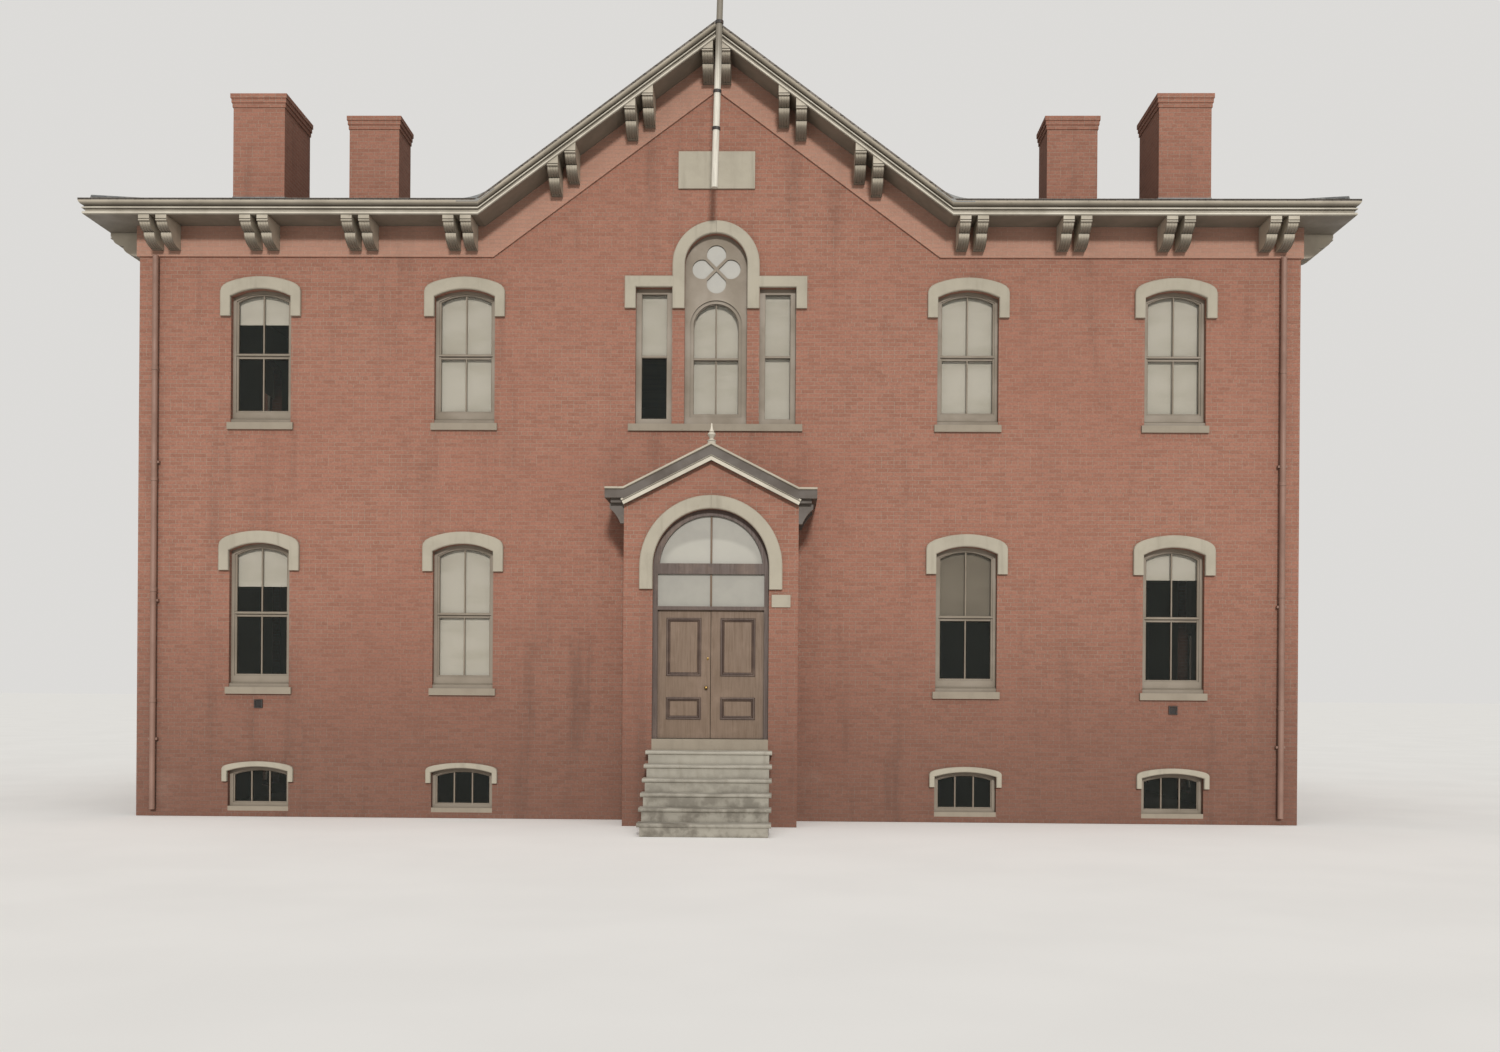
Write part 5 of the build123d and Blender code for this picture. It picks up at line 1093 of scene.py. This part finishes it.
def console(slope, reeds, reed_depth):
    """Bracket: a plain block with a bead over two reeded tiers, each a quarter of an ellipse in side view.

    Reed relief at share s across one reed is depth times 1 - |2s - 1|^2.5. It fades in below a tier's head
    and is full at its foot. The block's top follows the soffit's slope."""
    root = FRIEZE_OUT
    tip = root + CONSOLE_REACH
    waist, foot = ((root + out, up) for out, up in (CONSOLE_WAIST, CONSOLE_FOOT))
    within_reed = np.array([0.06, 0.3, 0.7, 0.94])
    across = np.concatenate([[0], (np.arange(reeds)[:, None] + within_reed).ravel() / reeds, [1]])
    reed = 1 - np.abs(2 * ((across * reeds) % 1.0) - 1) ** 2.5
    reed[[0, -1]] = 0
    x = (across - 0.5) * CONSOLE_WIDTH
    block = [(root, 0), (tip, 0), (tip, -0.062), (tip - 0.016, -0.068), (tip - 0.016, -0.078),
             (tip, -0.084), (tip, -0.1), (tip - 0.034, -0.1)]
    swell = np.minimum(1.0, np.linspace(0.3, 1.9, 8))
    rows, relief = [block], [0 * np.arange(len(block))]
    for start, end in (((tip - 0.04, -0.1), waist), ((waist[0] + 0.02, waist[1]), foot)):
        rows += [scroll(start, (end[0], end[1] + 0.008), len(swell)), [end]]
        relief += [swell, [0.4]]
    rows = np.vstack([*rows, [(root, foot[1])]])
    relief = np.concatenate([*relief, [0]])
    groove = reed_depth * relief[:, None] * (1 - reed[None, :])
    groove *= ((across > 0) & (across < 1))[None, :]
    out = rows[:, :1] - groove * 0.8
    down = rows[:, 1:] + groove * 0.5
    level = (rows[:, 1:] > -0.03) * (-slope * x[None, :])
    grid = np.stack([np.broadcast_to(x, out.shape), -out, down + level], axis=-1)
    front, faces = surface(grid)
    index = np.arange(out.size).reshape(out.shape)
    closing = [index[None, :, 0][:, ::-1], index[None, :, -1]]
    wall = np.stack([index[0, :-1], index[-1, :-1], index[-1, 1:], index[0, 1:]], axis=-1)
    return front, faces + closing + [wall]


def pairs(centres):
    """Places of both brackets of each pair."""
    return [centre + side * PAIR_HALF for centre in centres for side in (-1, 1)]


class SCHOOL_OT_brackets(bpy.types.Operator):
    """Carve the reeded brackets under the eaves and the gables"""
    bl_idname = "school.brackets"
    bl_label = "Cornice brackets"

    def execute(self, context):
        wood = context.scene.school_wood
        level = moved(console(0.0, wood.reeds, wood.reed_depth), (0, 0, SOFFIT))
        wing = [side * (WING_PAIR_START + index * PAIR_STEP) for index in range(4) for side in (-1, 1)]
        flank = [(index - 4) * PAIR_STEP for index in range(9)]
        parts = []
        for wall, centres in (("front", wing), ("back", wing), ("left", flank), ("right", flank)):
            parts += [on_wall(wall, x, level) for x in pairs(centres)]
        piece("eaves_consoles", parts, MATERIALS["trim"], replaces=["eaves_brackets"], slot="painted_trim")
        parts = []
        apex = SOFFIT + GABLE_HALF * GABLE_SLOPE
        for x in pairs([step * GABLE_PAIR_STEP for step in range(-2, 3)]):
            raking = moved(console(math.copysign(GABLE_SLOPE, x), wood.reeds, wood.reed_depth),
                           (0, 0, apex - abs(x) * GABLE_SLOPE))
            for wall in ("front", "back"):
                parts.append(on_wall(wall, x, raking))
        piece("gable_consoles", parts, MATERIALS["trim"], replaces=["gable_brackets"], slot="painted_trim")
        return {"FINISHED"}


def moulding_loop(x_low, x_high, z_low, z_high, y, out, width):
    """Bolection moulding round a panel: a bead that laps the stile, and a hollow that falls to the panel."""
    path = [(x_low, y, z_low), (x_high, y, z_low), (x_high, y, z_high), (x_low, y, z_high)]
    angle = np.linspace(0, math.pi, 6)
    bead = np.stack([width * (0.14 - 0.32 * np.cos(angle)), -out * np.sin(angle)], axis=-1)
    hollow = [(width * 0.6, -out * 0.2), (width * 0.85, out * 0.25), (width, out * 0.7)]
    profile = np.vstack([[(-width * 0.18, 0.004)], bead, hollow, [(width, 0.016), (0, 0.016)]])
    return sweep(profile, path, (0, 1, 0), closed=True)


class SCHOOL_OT_doors(bpy.types.Operator):
    """Add panel mouldings, turned knobs with their roses, and an escutcheon to the door leaves"""
    bl_idname = "school.doors"
    bl_label = "Door joinery"

    def execute(self, context):
        for name, body, low, high in (
            ("left_door_mouldings", "left_leaf", LEAF_LOW, LEAF_HIGH),
            ("right_door_mouldings", "right_leaf", RIGHT_LOW, RIGHT_HIGH),
        ):
            left, right = low.x + DOOR_STILE, high.x - DOOR_STILE
            foot = low.z + DOOR_BOTTOM_RAIL
            lock = foot + DOOR_LOWER_PANEL
            parts = [moulding_loop(left, right, z_low, z_high, low.y, out=0.019, width=0.055)
                     for z_low, z_high in ((foot, lock), (lock + DOOR_LOCK_RAIL, high.z - DOOR_TOP_RAIL))]
            # The mouldings take the darker varnish, partly painted shade along their edges
            piece(name, parts, MATERIALS["door_dark"], body=body, slot="door_wood")
        knob_low, knob_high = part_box("door_knob")
        centre = ((knob_low.x + knob_high.x) / 2, (knob_low.z + knob_high.z) / 2)
        reach = LEAF_LOW.y - knob_low.y
        brass = {"material": MATERIALS["brass"], "body": "left_leaf", "slot": "knob_brass"}
        # Rose, neck and knob, from the door's face outwards
        radii = [0.027, 0.027, 0.02, 0.011, 0.010, 0.016, 0.025, 0.029, 0.0285, 0.024, 0.014, 0.001]
        heights = [0.0, 0.003, 0.006, 0.009, 0.02, 0.028, 0.034, 0.043, 0.05, 0.056, 0.0605, 0.062]
        points, faces = lathe(radii, np.array(heights) * reach / heights[-1])
        parts = []
        for side, y in ((-1, LEAF_LOW.y), (1, LEAF_HIGH.y)):
            turned = np.stack([points[:, 0], side * points[:, 2], points[:, 1]], axis=-1)
            parts.append((turned + [centre[0], y, centre[1]], faces))
        piece("turned_knobs", parts, replaces=["door_knob"], **brass)
        points, faces = lathe([0.018, 0.018, 0.014, 0.006, 0.005], [0.0, 0.003, 0.005, 0.005, 0.002])
        oval = np.stack([points[:, 0], -points[:, 2], 1.35 * points[:, 1]], axis=-1)
        escutcheon = oval + [RIGHT_LOW.x - ESCUTCHEON_INSET, LEAF_LOW.y, LEAF_LOW.z + ESCUTCHEON_HEIGHT]
        piece("key_escutcheon", [(escutcheon, faces)], **brass)
        return {"FINISHED"}


class SCHOOL_OT_porch(bpy.types.Operator):
    """Add the fan bars, turned finial, cornice mouldings and carved arch hood of the porch"""
    bl_idname = "school.porch"
    bl_label = "Porch trim"

    def execute(self, context):
        stones = round_hood(DOORWAY_WIDTH / 2, ARCH_FOOT, ARCH_SPRING, ARCH_BAND, PORCH_FACE)
        piece("arch_hood_stones", stones, MATERIALS["stone"], replaces=["porch_arch_hood"],
              slot="painted_stone")
        glass_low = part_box("fanlight_glass")[0]
        fan_crown = ARCH_SPRING + DOORWAY_WIDTH / 2 - FAN_MARGIN
        bars = [upright(0, low, high, glass_low.y, FAN_BAR, depth=0.035)
                for low, high in ((glass_low.z, TRANSOM), (FAN_FOOT, fan_crown - 0.004))]
        piece("fan_bars", bars, MATERIALS["door"], slot="door_wood")
        apex = PORCH_EAVE + PORCH_HALF * PORCH_SLOPE
        y = PORCH_FACE - PORCH_OVERHANG
        cap = [(-PORCH_REACH, y, PORCH_EAVE), (-PORCH_HALF, y, PORCH_EAVE), (0, y, apex),
               (PORCH_HALF, y, PORCH_EAVE), (PORCH_REACH, y, PORCH_EAVE)]
        profile = [(0.004, 0), (0.004, -0.026), (-0.008, -0.034), (-0.026, -0.03), (-0.04, -0.01), (-0.04, 0)]
        piece("porch_rake_cap", [sweep(profile, cap, (0, 1, 0))], MATERIALS["trim"], slot="painted_trim")
        y = PORCH_FACE - BED_MOULD_OUT
        foot = apex - (RAKE_CAP + PORCH_CORNICE) / math.cos(math.atan(PORCH_SLOPE))
        bed = [(x, y, foot - abs(x) * PORCH_SLOPE) for x in (-PORCH_HALF, 0, PORCH_HALF)]
        profile = [(-0.006, 0.01), (-0.006, -0.03), (0.004, -0.036), (0.05, -0.042), (0.056, -0.05),
                   (0.06, -0.07), (0.072, -0.078), (0.088, -0.082), (0.088, 0.01)]
        piece("porch_bed_mould", [sweep(profile, bed, (0, 1, 0))], MATERIALS["pale"], slot="painted_trim")
        low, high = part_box("porch_finial")
        # Height and radius of each ring as shares: a square-set base, an urn and a spike
        rings = np.array([
            (0, 0.9), (0.2, 0.9), (0.22, 1), (0.25, 1), (0.27, 0.6), (0.33, 0.45), (0.42, 0.7), (0.5, 0.95),
            (0.56, 0.8), (0.6, 0.5), (0.63, 0.6), (0.66, 0.5), (0.74, 0.3), (0.88, 0.18), (0.97, 0.16),
            (1.0, 0.03),
        ])
        turned = lathe((high.x - low.x) / 2 * rings[:, 1], (high.z - low.z) * rings[:, 0], 20)
        finial = moved(turned, (0, (low.y + high.y) / 2, low.z))
        piece("turned_finial", [finial], MATERIALS["pale"], replaces=["porch_finial"], slot="painted_trim")
        return {"FINISHED"}


def eave_band(profile):
    """Profile (out, up) carried round the building under the roof edge, up and down both gables.

    Each row stands at a corner of the building, moved outwards by out, or at a gable's foot or apex. Its
    height is the soffit's plus up, and on a gable the slope times the distance in from the gable's foot."""
    out, up = np.asarray(profile, float).T
    gable = [x + 0 * out for x in (-GABLE_HALF, 0, GABLE_HALF)]
    places = [-HALF_LENGTH - out, *gable, HALF_LENGTH + out]
    rows = []
    for line, order in ((FRONT - out, places), (BACK + out, places[::-1])):
        for x in order:
            rise = np.maximum(0, GABLE_HALF - np.abs(x)) * GABLE_SLOPE
            rows.append(np.stack([x, line, SOFFIT + up + rise], axis=-1))
    rows.append(rows[0])
    return surface(np.array(rows), wrap=True)


def valley_fillet(side, wall):
    """Sheet that eases the top line of the cornice where gable and eave meet.

    Its upper edge is (1 - t)^2 A + 2t (1 - t) B + t^2 C, from A on the rake past the valley B to C."""
    reach = 0.36
    corner = np.array([GABLE_HALF, SOFFIT + CORNICE_HEIGHT])
    on_rake = corner + reach * np.array([-1, GABLE_SLOPE]) / math.hypot(1, GABLE_SLOPE)
    on_eave = corner + [reach, 0]
    share = np.linspace(0, 1, 9)[:, None]
    curve = (1 - share) ** 2 * on_rake + 2 * share * (1 - share) * corner + share ** 2 * on_eave
    edge = np.vstack([curve + [0, 0.03], [on_eave - [0, 0.02], corner - [0, 0.02], on_rake - [0, 0.02]]])
    ring = np.stack([np.column_stack([side * edge[:, 0], np.full(len(edge), y), edge[:, 1]])
                     for y in (-OVERHANG + 0.002, -OVERHANG + 0.09)])
    return on_wall(wall, 0, surface(ring, wrap=True, caps=True))


def saddle(start, end, fall, half=0.15, thick=0.025):
    """Pair of boards along a ridge or hip: their section at distance t across lies at z = top - fall |t|."""
    start, end = np.asarray(start, float), np.asarray(end, float)
    run = end - start
    across = np.array([run[1], -run[0], 0]) / math.hypot(run[0], run[1])
    edge, seat = -fall * half, -0.012
    section = np.array([
        (-half, edge + thick), (-0.03, thick + 0.006), (-0.018, thick + 0.03), (0.018, thick + 0.03),
        (0.03, thick + 0.006), (half, edge + thick), (half, edge + seat), (0, seat), (-half, edge + seat),
    ])
    upward = np.array([0, 0, 1])
    grid = np.array([start, end])[:, None, :] + section[:, :1] * across + section[:, 1:] * upward
    return surface(grid, wrap=True, caps=True)


def roof_level(x, y):
    """Height of the wing roof over a place: the eave's plus the slope times the distance to the next eave."""
    to_side = HALF_LENGTH + OVERHANG - np.abs(x)
    to_front = (BACK - FRONT) / 2 + OVERHANG - np.abs(y - MIDDLE)
    return SOFFIT + CORNICE_HEIGHT + SHINGLE_RISE + WING_SLOPE * np.minimum(to_side, to_front)


def chimney_skirt(x_low, x_high, y_low, y_high):
    """Lead skirt round a stack: a band that follows the roof, 0.15 m high and dressed out at its foot."""
    corners = np.array([
        (x_low, y_low), (x_high, y_low), (x_high, y_high), (x_low, y_high), (x_low, y_low)])
    share = np.linspace(0, 1, 7)[:-1, None]
    ring = np.vstack([start + share * (end - start) for start, end in zip(corners[:-1], corners[1:])])
    centre = corners[:4].mean(axis=0)
    half = np.array([x_high - x_low, y_high - y_low]) / 2
    outward = np.sign(np.where(np.abs(np.abs(ring - centre) - half) < 1e-6, ring - centre, 0))
    out, up = np.array([
        (-0.002, -0.02), (0.07, -0.005), (0.07, 0.004), (0.012, 0.016), (0.01, 0.15), (-0.002, 0.152)]).T
    x, y = np.moveaxis(ring[:, None, :] + outward[:, None, :] * out[:, None], -1, 0)
    grid = np.stack([x, y, roof_level(x, y) + up], axis=-1)
    return surface(np.concatenate([grid, grid[:1]]), wrap=True)


class SCHOOL_OT_roofing(bpy.types.Operator):
    """Run the cornice beads, and dress the ridges, hips, valleys and chimneys"""
    bl_idname = "school.roofing"
    bl_label = "Cornice beads and roofing"

    def execute(self, context):
        angle = np.linspace(-math.pi / 2, math.pi / 2, 6)
        parts = []
        # Height above the soffit, half height and reach of the two beads
        for centre, radius, swell in ((0.0275, 0.0265, 0.03), (0.113, 0.02, 0.034)):
            out = FASCIA + 0.012 + swell * np.cos(angle)
            parts.append(eave_band(np.stack([out, centre + radius * np.sin(angle)], axis=-1)))
        piece("cornice_beads", parts, MATERIALS["pale"], slot="painted_trim")
        parts = [valley_fillet(side, wall) for side in (-1, 1) for wall in ("front", "back")]
        front, back = FRONT - OVERHANG, BACK + OVERHANG
        ends = ((0, y, RIDGE - 0.06) for y in (front + 0.02, back - 0.02))
        parts.append(saddle(*ends, GABLE_SLOPE, half=0.14, thick=0.02))
        hip_end = HALF_LENGTH - (BACK - FRONT) / 2
        ridge = float(roof_level(hip_end, MIDDLE))
        inner = (RIDGE - ridge) / GABLE_SLOPE
        for side in (-1, 1):
            parts.append(saddle((side * inner, MIDDLE, ridge), (side * hip_end, MIDDLE, ridge), WING_SLOPE))
            for y in (front, back):
                eave = side * (HALF_LENGTH + OVERHANG - HIP_END), y + math.copysign(HIP_END, MIDDLE - y)
                parts.append(saddle((side * hip_end, MIDDLE, ridge), (*eave, float(roof_level(*eave))),
                                    WING_SLOPE * math.sqrt(0.5)))
        # Each stack has its twin on the left
        for x, setback, width, depth in CHIMNEYS:
            low, high = FRONT + setback, FRONT + setback + depth
            parts.append(chimney_skirt(x, x + width, low, high))
            parts.append(chimney_skirt(-x - width, -x, low, high))
        piece("roof_flashings", parts, MATERIALS["lead"])
        return {"FINISHED"}


class SCHOOL_OT_pole(bpy.types.Operator):
    """Turn the tapered flagpole with its truck"""
    bl_idname = "school.pole"
    bl_label = "Flagpole"

    def execute(self, context):
        lean = math.radians(1.3)
        foot = np.array([0.0, (POLE_LOW.y + POLE_HIGH.y) / 2, POLE_LOW.z + 0.0013])
        # A tapered pole, then the truck, a small turned disc
        radii = [0.057, 0.056, 0.05, 0.038, 0.038, 0.055, 0.075, 0.075, 0.055, 0.01]
        heights = [0.0, 1.5, 4.0, 6.75, 6.76, 6.762, 6.785, 6.795, 6.818, 6.82]
        points, faces = lathe(radii, heights, 20)
        x, y, z = points.T
        turned = [x * math.cos(lean) + z * math.sin(lean), y, z * math.cos(lean) - x * math.sin(lean)]
        piece("turned_flagpole", [(np.stack(turned, axis=-1) + foot, faces)], MATERIALS["pole"],
              replaces=["flagpole"], slot="pole_paint")
        return {"FINISHED"}


class SCHOOL_OT_steps(bpy.types.Operator):
    """Cut the step stones with rounded nosings and hollowed treads"""
    bl_idname = "school.steps"
    bl_label = "Step stones"

    def execute(self, context):
        low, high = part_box("step_treads")
        across = np.linspace(low.x, high.x, 25)
        # Feet have hollowed the middle of each tread: depth times exp(-(x / width)^2)
        wear = 0.009 * np.exp(-((across / 0.42) ** 2))
        radius = 0.028
        angle = np.linspace(0, math.pi / 2, 5)
        sin, cos = radius * np.sin(angle), radius * np.cos(angle)
        parts = []
        for index in range(STEP_COUNT):
            top = high.z - index * STEP_RISE
            front = high.y - (index + 1) * STEP_GOING - NOSING
            back = high.y if index == 0 else front + STEP_GOING + NOSING
            nose = np.stack([front + radius - sin, top - radius + cos], axis=-1)
            rounded = np.stack([front + radius - cos, top - TREAD_THICKNESS + radius - sin], axis=-1)
            tread = np.linspace(back, front + radius, 6)[:, None] * [1, 0] + [0, top]
            outline = np.vstack([tread[:-1], nose, rounded, [(back, top - TREAD_THICKNESS)]])
            worn = (outline[:, 1] > top - 0.012) & (outline[:, 0] < back - 0.01)
            level = outline[None, :, 1] - wear[:, None] * worn[None, :]
            x, y = np.broadcast_arrays(across[:, None], outline[None, :, 0])
            parts.append(surface(np.stack([x, y, level], axis=-1), wrap=True, caps=True))
        piece("step_stones", parts, MATERIALS["tread"], replaces=["step_treads"], slot="tread_stone")
        return {"FINISHED"}


class SCHOOL_OT_ironwork(bpy.types.Operator):
    """Make the round rainwater pipes with their collars, and the slotted wall vents"""
    bl_idname = "school.ironwork"
    bl_label = "Pipes and vents"

    def execute(self, context):
        low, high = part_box("downspouts")
        radius = 0.05
        y = low.y + radius
        # Four collars part the pipe into five lengths
        joints = np.arange(1, 5) * (high.z - low.z) / 5 + low.z
        collar = np.tile(radius + np.array([0, 0.006, 0.006, 0]), len(joints))
        edges = (joints[:, None] + [-0.07, -0.065, 0, 0.005]).ravel()
        pipe = lathe([radius * 0.99, *collar, radius * 0.99], [low.z, *edges, high.z], 20)
        parts = []
        for side in (-1, 1):
            x = side * (high.x - radius - 0.03)
            parts.append(moved(pipe, (x, y, 0)))
            levels = 0.12 + (np.arange(3) + 0.5) * 2.4
            lows = np.stack([np.full(3, x - 0.078), np.full(3, y), levels], axis=-1)
            highs = np.stack([np.full(3, x + 0.078), np.full(3, FRONT), levels + 0.04], axis=-1)
            parts.append(boxes(lows, highs))
        piece("rain_pipes", parts, MATERIALS["pipe"], replaces=["downspouts"], slot="pipe_paint")
        vent_low, vent_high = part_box("wall_vents")
        size, middle = vent_high.z - vent_low.z, (vent_high.z + vent_low.z) / 2
        parts = []
        for side in (-1, 1):
            x = side * (vent_high.x - size / 2)
            parts += [moved(part, (x, 0, middle)) for part in self.grille(size / 2 - 0.01, vent_high.y)]
        piece("vent_grilles", parts, MATERIALS["iron"], replaces=["wall_vents"], slot="black_iron")
        return {"FINISHED"}

    def grille(self, half, y):
        """Square vent about the middle: a rounded rim, six slats and the plate behind them."""
        rim = [(-half, y, -half), (half, y, -half), (half, y, half), (-half, y, half)]
        profile = [(-0.01, 0), (-0.01, -0.022), (-0.006, -0.028), (0.006, -0.028), (0.01, -0.022), (0.01, 0)]
        slats = [level_bar(-half, half, z, y, 0.009, depth=0.02)
                 for z in np.linspace(-half + 0.018, half - 0.018, 6)]
        plate = boxes([(-half, y - 0.006, -half)], [(half, y, half)])
        return [sweep(profile, rim, (0, 1, 0), closed=True), *slats, plate]


class SCHOOL_OT_stage(bpy.types.Operator):
    """Add the floor, the lamps, the pale surroundings and the camera"""
    bl_idname = "school.stage"
    bl_label = "Stage"

    def execute(self, context):
        scene = context.scene
        stage = scene.school_stage
        corners = [(x * FLOOR_REACH, y * FLOOR_REACH, 0) for x, y in ((-1, -1), (1, -1), (1, 1), (-1, 1))]
        mesh = bpy.data.meshes.new("stage_floor")
        mesh.from_pydata(corners, [], [(0, 1, 2, 3)])
        floor = bpy.data.objects.new("stage_floor", mesh)
        floor.location.z = -0.002
        mesh.materials.append(stage_material("pale floor", tuple(stage.floor)))
        scene.collection.objects.link(floor)
        world = bpy.data.worlds.new("soft surroundings")
        world.use_nodes = True
        tree = world.node_tree
        background = tree.nodes["Background"]
        background.inputs["Color"].default_value = (1.0, 0.985, 0.96, 1)
        # The eye, gloss and glass see paler surroundings than those that light the walls
        rays = node(tree, "LightPath").node.outputs
        seen = rays["Is Camera Ray"]
        for name in ("Is Glossy Ray", "Is Transmission Ray"):
            seen = node(tree, "Math", (seen, rays[name]), operation="MAXIMUM")
        strength = node(tree, "Mix", {0: seen, 2: 0.33, 3: 0.72}, data_type="FLOAT")
        tree.links.new(strength, background.inputs["Strength"])
        scene.world = world
        # Name, strength, width of the source, tilt and turn in degrees, and colour
        for name, energy, width, tilt, turn, colour in (
            ("key_lamp", 2.25, 6, 69, 5, (1.0, 0.98, 0.95)),
            ("sky_lamp", 0.8, 50, 12, 8, (1.0, 1.0, 1.0)),
        ):
            sun = bpy.data.lights.new(name, "SUN")
            sun.energy, sun.angle, sun.color = energy, math.radians(width), colour
            lamp = bpy.data.objects.new(name, sun)
            lamp.rotation_euler = (math.radians(tilt), 0, math.radians(turn))
            scene.collection.objects.link(lamp)
        camera_data = bpy.data.cameras.new("camera")
        camera_data.sensor_width = 36.0
        camera_data.lens = 36.0
        camera_data.shift_x = -0.0013
        camera_data.shift_y = 0.1096
        camera_data.clip_end = 2000
        camera = bpy.data.objects.new("camera", camera_data)
        camera.location = (1.145, FRONT - stage.distance, stage.eye_height)
        camera.rotation_euler = (math.radians(90), math.radians(-0.406), math.radians(1.054))
        scene.collection.objects.link(camera)
        scene.camera = camera
        scene.view_settings.view_transform = "Standard"
        return {"FINISHED"}


OPERATORS = (
    SCHOOL_OT_stage, SCHOOL_OT_materials, SCHOOL_OT_sashes, SCHOOL_OT_tracery_glass, SCHOOL_OT_blinds,
    SCHOOL_OT_hoods, SCHOOL_OT_brackets, SCHOOL_OT_roofing, SCHOOL_OT_doors, SCHOOL_OT_porch, SCHOOL_OT_pole,
    SCHOOL_OT_steps, SCHOOL_OT_ironwork,
)
GROUPS = {"school_walls": SchoolWalls, "school_wood": SchoolWood, "school_blinds": SchoolBlinds,
          "school_stage": SchoolStage}


class SCHOOL_PT_panel(bpy.types.Panel):
    """Buttons that add the pieces in order"""
    bl_idname = "SCHOOL_PT_panel"
    bl_label = "School building"
    bl_space_type = "VIEW_3D"
    bl_region_type = "UI"
    bl_category = "School"

    def draw(self, context):
        for operator in OPERATORS:
            self.layout.operator(operator.bl_idname, text=operator.bl_label)
        for name, group in GROUPS.items():
            settings = getattr(context.scene, name)
            for key in group.__annotations__:
                self.layout.prop(settings, key)


CLASSES = (*GROUPS.values(), *OPERATORS, SCHOOL_PT_panel)


def register():
    for kind in CLASSES:
        bpy.utils.register_class(kind)
    for name, group in GROUPS.items():
        setattr(bpy.types.Scene, name, PointerProperty(type=group))


def unregister():
    for name in GROUPS:
        delattr(bpy.types.Scene, name)
    for kind in reversed(CLASSES):
        bpy.utils.unregister_class(kind)


def main():
    """Register, and add every piece in order."""
    register()
    for operator in OPERATORS:
        group, name = operator.bl_idname.split(".")
        getattr(getattr(bpy.ops, group), name)()


if __name__ == "__main__":
    main()
